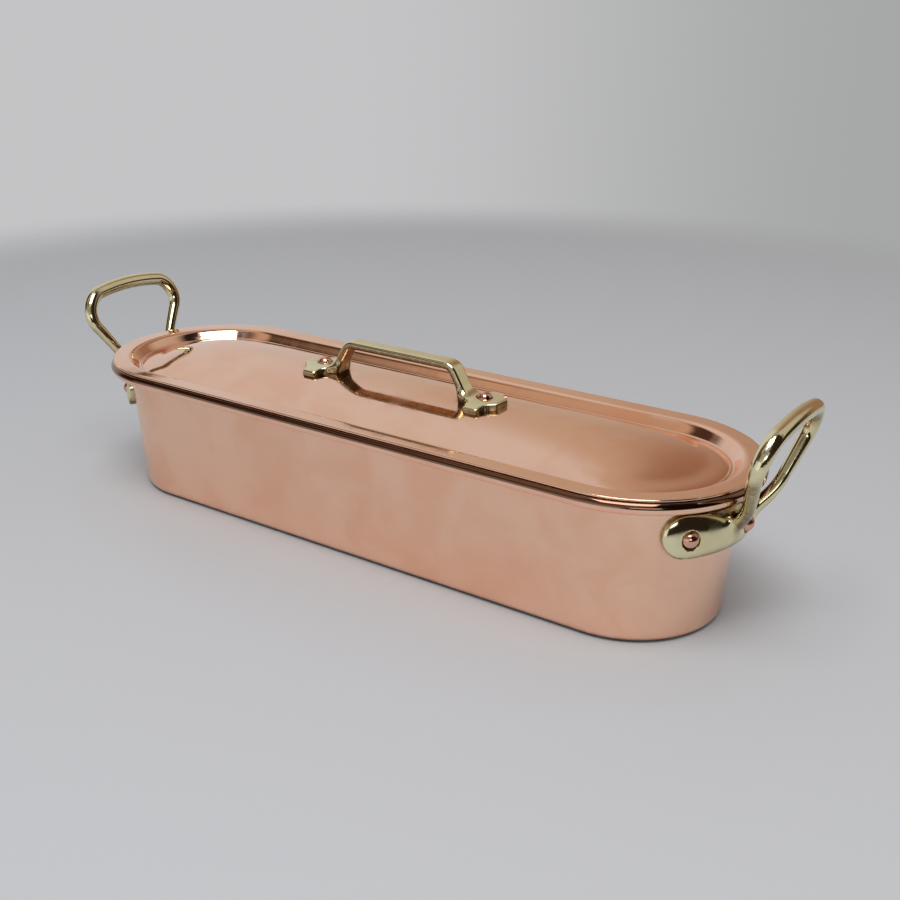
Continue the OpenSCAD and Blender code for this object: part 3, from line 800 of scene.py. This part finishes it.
circle = full_turn(28)
hole = drain_radius * np.stack([np.cos(circle), np.sin(circle)], -1)
drains = [hole + [i * drain_pitch, s * (j + 0.5) * drain_row]
          for i in range(-drain_columns, drain_columns + 1) for j in (0, 1) for s in (-1, 1)]
deck_points, deck_faces = filled_plate("deck", [slot_outline(half_run, deck_radius)] + drains,
                                       rack_sheet, deck_edge)
deck_under = rack_top - rack_sheet
edge_inner = rack_radius - rack_sheet
rim_path = [(deck_radius - deck_lap, deck_under), (edge_inner, deck_under), (edge_inner, rack_foot)]
rim_outline = sheet_outline(rim_path, [0, rack_bend, 0], 0.0, rack_sheet)
rack_mesh = finished_mesh("rack", *joined([(deck_points + [0, 0, rack_top - rack_sheet / 2], deck_faces),
                                           round_plan(rim_outline, closed=True)]))
rack_mesh.set_sharp_from_angle(angle=math.radians(40))
rack = make_piece("rack_deck", rack_mesh, "rack", ["rack_plate"])

# %% [markdown]
# Each rack handle is one bent rod that is brazed to two riveted tabs. A small collar of braze closes the
# corner between rod and tab.

# %% Rack handles
rod_radius = 2.5 * mm
rod_half = 22 * mm
rod_bend = 12 * mm
rod_inset = 12 * mm
rod_place = half_run - rod_inset
rod_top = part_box("rack_right_handle")[1].z - rod_radius
tab_half = 6.5 * mm
tab_length = 26 * mm
tab_thick = 2 * mm
tab_edge = 0.4 * mm
braze = 1.8 * mm
rod_tab_x = rod_place - tab_length + 2 * tab_half
tab_middle = rack_top + tab_thick / 2
rod_corners = [np.array(p) for p in ((-rod_half, tab_middle), (-rod_half, rod_top),
                                     (rod_half, rod_top), (rod_half, tab_middle))]
rod_flat = np.array(filled([rod_corners[0]] + corner_arc(*rod_corners[:3], rod_bend, 16)
                           + corner_arc(*rod_corners[1:], rod_bend, 16) + [rod_corners[3]], 5 * mm))
rod_line = np.stack([np.full(len(rod_flat), rod_place), rod_flat[:, 0], rod_flat[:, 1]], -1)
rod_solid = skin(tube_rings(rod_line, np.full(len(rod_line), rod_radius), np.array([1.0, 0, 0]), 24))
tab_points, tab_faces = filled_plate("tab", [slot_outline((rod_place - rod_tab_x) / 2, tab_half, 24)],
                                     tab_thick, tab_edge)
collar = [(rod_radius + braze * (1 - math.sin(a)), tab_thick + braze * (1 - math.cos(a)))
          for a in np.linspace(0, 1.57, 8)]


def collar_rings(y, sides=32):
    turn = full_turn(sides)
    return [np.stack([rod_place + r * np.cos(turn), y + r * np.sin(turn), np.full(sides, rack_top + z)], -1)
            for r, z in collar]


rack_parts = [rod_solid]
for y in (-rod_half, rod_half):
    rack_parts.append((tab_points + [(rod_place + rod_tab_x) / 2, y, tab_middle], tab_faces))
    rack_parts.append(skin(collar_rings(y)))
rod_points, rod_faces = joined(rack_parts)
rack_handles = []
for end, mirror in ends:
    name = "rack_%s_handle" % end
    mesh = finished_mesh(name, rod_points * [mirror, 1, 1], rod_faces, 1e-7)
    mesh.set_sharp_from_angle(angle=math.radians(40))
    rack_handles.append(make_piece(name + "_rod", mesh, "rack", [name]))
rack_head, rack_dome, rack_shank, rack_inner = 4 * mm, 1.8 * mm, 2 * mm, 1 * mm
rack_rivet = rivet_points(tab_thick, rack_sheet, rack_head, rack_dome, rack_shank, rack_inner)
for end, sign in ends:
    for place_name, y in (("front", -rod_half), ("back", rod_half)):
        rack_handles.append(set_rivet("rack_%s_%s_rivet" % (end, place_name), *rack_rivet,
                                      np.array([sign * rod_tab_x, y, rack_top]), np.eye(3), "rack", "rack"))

# %% [markdown]
# ## Shader helpers
# A node is added with its settings and its inputs in one line. An input is either a plain value or the output
# of another node, and a colour is given by its red, green and blue.

# %% Add nodes
def feed(tree, value, socket):
    if isinstance(value, bpy.types.NodeSocket):
        tree.links.new(value, socket)
    elif isinstance(value, tuple):
        socket.default_value = (value + (1.0,))[:len(socket.default_value)]
    else:
        socket.default_value = value


def add(tree, kind, settings=None, inputs=None):
    node = tree.nodes.new("ShaderNode" + kind)
    for key, value in (settings or {}).items():
        setattr(node, key, value)
    for key, value in (inputs or {}).items():
        feed(tree, value, node.inputs[key])
    return node


def sums(tree, operation, *values):
    return add(tree, "Math", {"operation": operation}, dict(enumerate(values))).outputs[0]


def ramp(tree, value, low, high, to_low=0.0, to_high=1.0):
    return add(tree, "MapRange", {"interpolation_type": "SMOOTHSTEP"},
               {"Value": value, "From Min": low, "From Max": high,
                "To Min": to_low, "To Max": to_high}).outputs["Result"]


def mix(tree, share, a, b):
    return add(tree, "Mix", {"data_type": "RGBA"}, {0: share, 6: a, 7: b}).outputs[2]


def here(tree):
    return add(tree, "TexCoord").outputs["Object"]


def noise(tree, where, scale, detail, **more):
    return add(tree, "TexNoise", inputs={"Vector": where, "Scale": scale, "Detail": detail, **more}).outputs["Fac"]


def effect(name, inputs, outputs):
    tree = bpy.data.node_groups.new(name, "ShaderNodeTree")
    for label, value in inputs.items():
        coloured = isinstance(value, tuple)
        kind = "NodeSocketColor" if coloured else "NodeSocketFloat"
        socket = tree.interface.new_socket(label, in_out="INPUT", socket_type=kind)
        socket.default_value = value + (1.0,) if coloured else value
    for label in outputs:
        kind = "NodeSocketColor" if label == "Color" else "NodeSocketFloat"
        tree.interface.new_socket(label, in_out="OUTPUT", socket_type=kind)
    return tree, tree.nodes.new("NodeGroupInput").outputs, tree.nodes.new("NodeGroupOutput").inputs


def new_paint(name):
    material = bpy.data.materials.new(name)
    material.use_nodes = True
    return material, material.node_tree, material.node_tree.nodes["Principled BSDF"].inputs


def use(tree, group, **inputs):
    node = add(tree, "Group", {"node_tree": group})
    for key, value in inputs.items():
        feed(tree, value, node.inputs[key.replace("_", " ")])
    return node.outputs


print("shader helpers ready")

# %% [markdown]
# ## Effects
# Hand-worked metal shows four things, and each is a node group that every metal shares. The first is that the
# sheet is never quite flat, so mirror images swim in it. Two sizes of noise give its height.

# %% Wavy sheet
wavy, given, out = effect("Wavy sheet", {"Waves per metre": 40.0, "Depth": 0.02}, ["Height"])
where = here(wavy)
broad = noise(wavy, where, given["Waves per metre"], 1.0)
small = noise(wavy, where, sums(wavy, "MULTIPLY", given["Waves per metre"], 3.1), 0.0)
both = sums(wavy, "MULTIPLY_ADD", small, 0.22, broad)
feed(wavy, sums(wavy, "MULTIPLY", both, given["Depth"]), out["Height"])
print(wavy.name, len(wavy.nodes), "nodes")

# %% [markdown]
# The buff leaves fine lines and hazy patches. Noise that is squeezed along one direction gives long thin lines,
# and two directions cross each other as they do on a wheel.

# %% Buffing marks
buffed, given, out = effect("Buffing marks", {"Lines per metre": 900.0, "Turn": 0.6}, ["Height", "Haze"])
where = here(buffed)
lines = []
for turn, squeeze in ((0.0, 0.05), (1.1, 0.09)):
    angle = sums(buffed, "ADD", given["Turn"], turn)
    spun = add(buffed, "VectorRotate", {"rotation_type": "AXIS_ANGLE"},
               {"Vector": where, "Axis": (0.3, 0.5, 0.8), "Angle": angle}).outputs[0]
    drawn = add(buffed, "VectorMath", {"operation": "MULTIPLY"}, {0: spun, 1: (squeeze, 1.0, 1.0)}).outputs[0]
    lines.append(ramp(buffed, noise(buffed, drawn, given["Lines per metre"], 2.0), 0.56, 0.72))
patch = ramp(buffed, noise(buffed, where, 55.0, 4.0, Roughness=0.62), 0.42, 0.68)
marks = sums(buffed, "MAXIMUM", *lines)
feed(buffed, sums(buffed, "MULTIPLY", marks, -1.0), out["Height"])
feed(buffed, sums(buffed, "MULTIPLY_ADD", marks, 0.35, patch), out["Haze"])
print(buffed.name, len(buffed.nodes), "nodes")

# %% [markdown]
# Handling and heat leave warm clouds of colour, which are a soft mask between two colours of the same metal.

# %% Warm clouds
clouds, given, out = effect("Warm clouds", {"Fresh": (0.9, 0.6, 0.45), "Warm": (0.8, 0.4, 0.25), "Share": 0.5,
                                            "Clouds per metre": 24.0}, ["Color"])
soft = noise(clouds, here(clouds), given["Clouds per metre"], 5.0, Roughness=0.55, Distortion=0.6)
mask = sums(clouds, "MULTIPLY", ramp(clouds, soft, 0.38, 0.7), given["Share"])
feed(clouds, mix(clouds, mask, given["Fresh"], given["Warm"]), out["Color"])
print(clouds.name, len(clouds.nodes), "nodes")

# %% [markdown]
# Corners and undersides are darkened in the colour, while edges are rubbed bright. In the hollows this is partly
# oxide and old polish and partly painted shade. On undersides it is painted shade. Ambient occlusion finds the
# corners, the normal finds the undersides, and the pointiness of the mesh finds the edges.

# %% Corners and edges
corners, given, out = effect("Corners and edges", {"Reach": 0.004, "Under": 0.0, "Under start": -0.15,
                                                   "Edge start": 0.53, "Edge end": 0.6}, ["Grime", "Edge"])
open_share = add(corners, "AmbientOcclusion", {"samples": 6}, {"Distance": given["Reach"]}).outputs["AO"]
surface = add(corners, "NewGeometry").outputs
upright = add(corners, "SeparateXYZ", inputs={0: surface["Normal"]}).outputs["Z"]
speckle = noise(corners, here(corners), 320.0, 3.0)
under_full = sums(corners, "SUBTRACT", given["Under start"], 0.55)
# Painted shade on faces that turn downwards. It starts at Under start and is full 0.55 lower on the normal's
# height.
underside_shade = sums(corners, "MULTIPLY", ramp(corners, upright, given["Under start"], under_full), given["Under"])
# Painted shade where ambient occlusion finds little open space, partly oxide in the hollows, joined with the
# underside shade.
shade_and_oxide_share = sums(corners, "MAXIMUM", ramp(corners, open_share, 0.82, 0.3), underside_shade)
feed(corners, sums(corners, "MULTIPLY", shade_and_oxide_share, ramp(corners, speckle, 0.2, 0.6, 0.55, 1.0)), out["Grime"])
feed(corners, ramp(corners, surface["Pointiness"], given["Edge start"], given["Edge end"]), out["Edge"])
print(corners.name, len(corners.nodes), "nodes")

# %% [markdown]
# ## Finishes
# Each metal is one Principled shader with its own values for the shared effects. The lid's copper is pinkish and
# mirror-bright. The wall of the pan is hazier from scouring, up to its polished rim. Its colour gets a dark line of
# painted shade where it stands, and another on the bead, just under the lid's edge. Cast brass is paler and
# yellower, tin is a grey wiped coat, and the rack is tinned sheet that has dulled in use.

# %% Metal finishes
def standing_shade_and_polish(tree, shade_and_oxide, rough):
    level = add(tree, "SeparateXYZ", inputs={0: here(tree)}).outputs["Z"]
    # Painted contact shade: the lowest 3 mm of the wall darken towards the floor.
    shade_and_oxide = sums(tree, "MAXIMUM", shade_and_oxide, ramp(tree, level, 3.2 * mm, 1.2 * mm))
    # Painted shade on the bead, in a band just under the lid's edge.
    bead_shade = sums(tree, "MULTIPLY", ramp(tree, level, bead_middle[1] + 0.2 * mm, bead_middle[1] + 0.7 * mm),
                   ramp(tree, level, pan_height - 0.3 * mm, pan_height - 0.7 * mm))
    rim_polish = ramp(tree, level, rim_under - 9 * mm, rim_under - 6 * mm, 1.0, 0.45)
    return shade_and_oxide, sums(tree, "MAXIMUM", shade_and_oxide, bead_shade), sums(tree, "MULTIPLY", rough, rim_polish)


def metal(name, fresh, warm, shade_and_oxide_colour, smooth, hazy, waves, depth, lines, scratch, share=0.5, cloud_size=24.0,
          reach=0.004, under=0.0, underside_shade_start=-0.15, stands=False):
    material, tree, shader = new_paint(name)
    sheet = use(tree, wavy, Waves_per_metre=waves, Depth=depth)
    marks = use(tree, buffed, Lines_per_metre=lines, Turn=0.6)
    tint = use(tree, clouds, Fresh=fresh, Warm=warm, Share=share, Clouds_per_metre=cloud_size)["Color"]
    shade_and_edge_wear = use(tree, corners, Reach=reach, Under=under, Under_start=underside_shade_start)
    shade_and_oxide = colour_shade_and_oxide = shade_and_edge_wear["Grime"]
    rough = ramp(tree, marks["Haze"], 0.0, 1.0, smooth, hazy)
    if stands:
        shade_and_oxide, colour_shade_and_oxide, rough = standing_shade_and_polish(tree, shade_and_oxide, rough)
    rubbed = mix(tree, sums(tree, "MULTIPLY", shade_and_edge_wear["Edge"], 0.6), tint, fresh)
    height = sums(tree, "MULTIPLY_ADD", marks["Height"], scratch, sheet["Height"])
    bump = add(tree, "Bump", inputs={"Strength": 1.0, "Distance": mm, "Height": height})
    # Painted shade and oxide: the base colour goes towards the dark colour where the mask is high.
    feed(tree, mix(tree, sums(tree, "MULTIPLY", colour_shade_and_oxide, 0.85), rubbed, shade_and_oxide_colour), shader["Base Color"])
    feed(tree, sums(tree, "MULTIPLY_ADD", shade_and_oxide, 0.12, rough), shader["Roughness"])
    feed(tree, bump.outputs["Normal"], shader["Normal"])
    feed(tree, 1.0, shader["Metallic"])
    print(name, len(tree.nodes), "nodes")
    return material


# %% [markdown]
# Two metals are used twice. The lid and the wall are the same copper with a different polish. The end handles and
# the lid's bar are the same brass, but the bar's sides and underside get more painted shade in their colour than
# its top.

# %% Copper and brass
copper_colours = (1.0, 0.645, 0.47), (0.95, 0.53, 0.355)
brass_colours = (0.86, 0.80, 0.52), (0.76, 0.65, 0.34)
# The copper's reach of 7 mm lets ambient occlusion paint shade into its gaps, such as round the bead and the base.
sheet_work = {"waves": 34.0, "depth": 0.05, "reach": 0.007}
cast_work = {"waves": 130.0, "depth": 0.02, "lines": 1100.0, "scratch": 0.0008, "cloud_size": 70.0}
copper = metal("polished_copper", *copper_colours, (0.16, 0.065, 0.03), 0.06, 0.16,
               lines=700.0, scratch=0.0006, **sheet_work)
wall_copper = metal("scoured_copper", *copper_colours, (0.12, 0.05, 0.025), 0.15, 0.26,
                    lines=500.0, scratch=0.0003, share=0.7, stands=True, **sheet_work)
# The end handles get painted shade on their undersides and, with a long reach, near the pan's wall.
brass = metal("cast_brass", *brass_colours, (0.11, 0.06, 0.025), 0.08, 0.18, reach=0.016, under=0.9, **cast_work)
bar_brass = metal("cast_bar_brass", *brass_colours, (0.13, 0.065, 0.022), 0.08, 0.18,
                  under=0.85, underside_shade_start=0.6, **cast_work)

# %% [markdown]
# The rivets, the tin, the rack and the wire in the bead each have a finish of their own. They are duller, because
# nobody polishes them.

# %% Rivets, tin, rack and wire
rivet_copper = metal("rivet_copper", (0.82, 0.46, 0.34), (0.62, 0.30, 0.2), (0.13, 0.05, 0.025), 0.1, 0.22,
                     waves=260.0, depth=0.02, lines=1500.0, scratch=0.0008, cloud_size=200.0, reach=0.002)
tin = metal("wiped_tin", (0.72, 0.71, 0.68), (0.58, 0.57, 0.55), (0.3, 0.29, 0.27), 0.24, 0.42,
            waves=60.0, depth=0.05, lines=260.0, scratch=0.004, cloud_size=40.0)
rack_metal = metal("tinned_rack", (0.70, 0.70, 0.68), (0.55, 0.54, 0.52), (0.2, 0.19, 0.17), 0.22, 0.4,
                   waves=80.0, depth=0.03, lines=500.0, scratch=0.003, cloud_size=60.0, reach=0.003)
wire = metal("drawn_wire", (0.55, 0.55, 0.56), (0.45, 0.45, 0.46), (0.2, 0.2, 0.2), 0.25, 0.4,
             waves=90.0, depth=0.02, lines=900.0, scratch=0.002)

# %% [markdown]
# Each piece now wears its finish. The wire hides inside the bead, so its measured solid stays as it is and is
# only given the colour of drawn steel.

# %% Dress the pieces
dress = {copper: [lid], wall_copper: [pan], brass: list(end_handles.values()), bar_brass: [lid_handle],
         rivet_copper: rivets, tin: [pan_lining, lid_lining], rack_metal: [rack] + rack_handles,
         wire: [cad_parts["rim_wire"]]}
for finish, wearers in dress.items():
    for wearer in wearers:
        wearer.data.materials.clear()
        wearer.data.materials.append(finish)
print(sum(map(len, dress.values())), "pieces dressed")

# %% [markdown]
# ## The stage
# A pale floor fades out with distance, so that no edge shows against the background. It ends soonest at the
# front, like a table that the photographer stands at. The world is a simple studio: pale walls behind, and a
# dark room at the front above the table. Polished copper shows these as its dark and light bands. The camera
# sees only a plain backdrop.

# %% Floor
floor_size = 3.0
floor_level = -0.2 * mm
floor_middle = (-0.18, 0.24, 0.0)
floor_points = [(floor_size * x, floor_size * y, 0) for x, y in ((-1, -1), (1, -1), (1, 1), (-1, 1))]
floor_mesh = bpy.data.meshes.new("floor")
floor_mesh.from_pydata(floor_points, [], [(0, 1, 2, 3)])
floor = put(bpy.data.objects.new("floor", floor_mesh))
floor.location.z = floor_level
floor_paint, tree, shader = new_paint("pale_floor")
where = here(tree)
away = add(tree, "VectorMath", {"operation": "DISTANCE"}, {0: where, 1: floor_middle}).outputs["Value"]
paint = mix(tree, noise(tree, where, 900.0, 2.0), (0.65, 0.66, 0.68), (0.69, 0.70, 0.72))
feed(tree, paint, shader["Base Color"])
feed(tree, ramp(tree, away, 0.74, 1.08, 1.0, 0.0), shader["Alpha"])
feed(tree, 0.6, shader["Roughness"])
floor_mesh.materials.append(floor_paint)
print("floor", 2 * floor_size, "m wide")

# %% [markdown]
# The studio is drawn on the directions round the object. Angles are counted from the camera's side: a turn of
# 0 is the camera, positive is to its right.

# %% Directions of the world
camera_turn = math.radians(37.24)
world = bpy.data.worlds.new("studio")
bpy.context.scene.world = world
world.use_nodes = True
tree = world.node_tree
tree.nodes.clear()
look = add(tree, "SeparateXYZ", inputs={0: add(tree, "TexCoord").outputs["Generated"]}).outputs
compass = sums(tree, "ARCTAN2", look["X"], sums(tree, "MULTIPLY", look["Y"], -1.0))
bearing = sums(tree, "WRAP", sums(tree, "SUBTRACT", compass, camera_turn), math.pi, -math.pi)
rightward = sums(tree, "SINE", bearing)
rise = sums(tree, "ARCSINE", look["Z"])


def above(start, full):
    return ramp(tree, rise, math.radians(start), math.radians(full))


def band(value, start, full, fall, end):
    up = ramp(tree, value, math.radians(start), math.radians(full))
    down = ramp(tree, value, math.radians(fall), math.radians(end), 1.0, 0.0)
    return sums(tree, "MULTIPLY", up, down)


def panel(heights, bearings):
    return sums(tree, "MULTIPLY", band(rise, *heights), band(bearing, *bearings))


print("directions in", len(tree.nodes), "nodes")

# %% [markdown]
# The walls go from a pale left side to a brown right side. A lighter strip, a ceiling, a white card and a tan board
# are laid over them, one after the other.

# %% Walls of the studio
walls = (0.62, 0.63, 0.65)
for share, colour in (
        (ramp(tree, rightward, -0.2, 0.1), (0.51, 0.44, 0.36)),
        (ramp(tree, rightward, 0.05, 0.62), (0.30, 0.18, 0.12)),
        (sums(tree, "MULTIPLY", ramp(tree, rightward, 0.68, 0.88), above(8, 20)), (0.52, 0.48, 0.42)),
        (above(58, 76), (0.32, 0.31, 0.3)),
        (panel((-40, -30, 10, 22), (-68, -56, -26, -18)), (0.84, 0.84, 0.84)),
        (panel((28, 38, 62, 74), (-140, -124, -70, -50)), (0.5, 0.385, 0.29))):
    walls = mix(tree, share, walls, colour)
print("walls in", len(tree.nodes), "nodes")

# %% [markdown]
# Dark panels give the polished metal its black bands. Where several overlap the darkest counts. A softer
# stretch on the camera's left keeps the lid from going black when it is seen from behind.

# %% Dark panels
darkness = sums(tree, "MULTIPLY", panel((28, 38, 60, 70), (-78, -58, -26, -14)), 0.85)
for dark in (panel((8, 22, 30, 40), (-136, -120, -12, 8)),
             panel((-12, 8, 50, 62), (-128, -116, -98, -86)),
             panel((-16, -10, 36, 46), (-24, -14, 76, 94)),
             sums(tree, "MULTIPLY", above(30, 40), band(bearing, 2, 12, 70, 92)),
             panel((-16, -10, 6, 14), (66, 76, 112, 126))):
    darkness = sums(tree, "MAXIMUM", darkness, dark)
gleam = panel((12, 20, 32, 42), (-80, -55, 0, 20))
darkness = sums(tree, "MULTIPLY", darkness, ramp(tree, gleam, 0.0, 1.0, 1.0, 0.55))
panel_colour = mix(tree, ramp(tree, bearing, math.radians(-50), math.radians(-10)),
                   (0.06, 0.035, 0.022), (0.02, 0.013, 0.01))
studio = mix(tree, darkness, walls, panel_colour)
print("dark panels in", len(tree.nodes), "nodes")

# %% [markdown]
# The kind of ray decides what it meets: mirror images show the studio, the camera sees the plain backdrop, and
# soft light comes from a grey room that is lighter above.

# %% What each ray meets
backdrop = mix(tree, ramp(tree, rightward, -0.05, 0.4), (0.55, 0.55, 0.56), (0.385, 0.39, 0.39))
ambient = mix(tree, above(0, 70), (0.24, 0.24, 0.245), (0.42, 0.42, 0.43))
rays = add(tree, "LightPath").outputs
for_eye = mix(tree, rays["Is Camera Ray"], ambient, backdrop)
seen = mix(tree, rays["Is Glossy Ray"], for_eye, studio)
back = add(tree, "Background", inputs={"Color": seen, "Strength": 1.0})
add(tree, "OutputWorld", inputs={"Surface": back.outputs[0]})
print("world", len(tree.nodes), "nodes")

# %% [markdown]
# One large lamp above lights the floor and shows in the lid's step. A small lamp in front gives the bright
# glints. Both are placed by a turn and a height, as the camera is.

# %% Lamps
def direction(turn, height):
    return Vector((math.sin(turn) * math.cos(height), -math.cos(turn) * math.cos(height), math.sin(height)))


def soft_box(name, turn, height, away, size, power):
    lamp = bpy.data.lights.new(name, "AREA")
    lamp.shape = "RECTANGLE"
    lamp.size, lamp.size_y = size
    lamp.energy = power
    holder = put(bpy.data.objects.new(name, lamp))
    holder.location = direction(camera_turn + math.radians(turn), math.radians(height)) * away
    holder.rotation_euler = (-holder.location).to_track_quat("-Z", "Y").to_euler()
    return holder


key = soft_box("key", -10, 68, 2.0, (1.2, 1.0), 18.5)
glint = soft_box("glint", 2, 16, 2.6, (1.1, 0.45), 3.6)
print("lamps:", key.name, glint.name)

# %% [markdown]
# ## The camera
# The camera stands in front and to the right, a little above the kettle. Its place, its lens and the small
# turns of its aim come from fitting the rim, lid and base outlines to the picture.

# %% Camera
camera_rise = math.radians(21.826)
camera_away = 0.7901
look_height = 51.3 * mm
aim_right, aim_up, roll = math.radians(2.352), math.radians(0.371), math.radians(0.279)
back_way = direction(camera_turn, camera_rise)


def level_axes(ahead):
    right = ahead.cross(Vector((0, 0, 1))).normalized()
    return right, right.cross(ahead)


right, upward = level_axes(-back_way)
ahead = (-back_way + math.tan(aim_right) * right + math.tan(aim_up) * upward).normalized()
right, upward = level_axes(ahead)
right, upward = (math.cos(roll) * right + math.sin(roll) * upward,
                 math.cos(roll) * upward - math.sin(roll) * right)
lens = bpy.data.cameras.new("camera")
lens.sensor_fit = "HORIZONTAL"
lens.sensor_width = 36.0
lens.lens = 46.43
camera = put(bpy.data.objects.new("camera", lens))
camera.matrix_world = Matrix((right, upward, -ahead)).transposed().to_4x4()
camera.location = Vector((0, 0, look_height)) + back_way * camera_away
bpy.context.scene.camera = camera
bpy.context.scene.view_settings.view_transform = "Standard"
print("camera at", [round(v, 4) for v in camera.location])
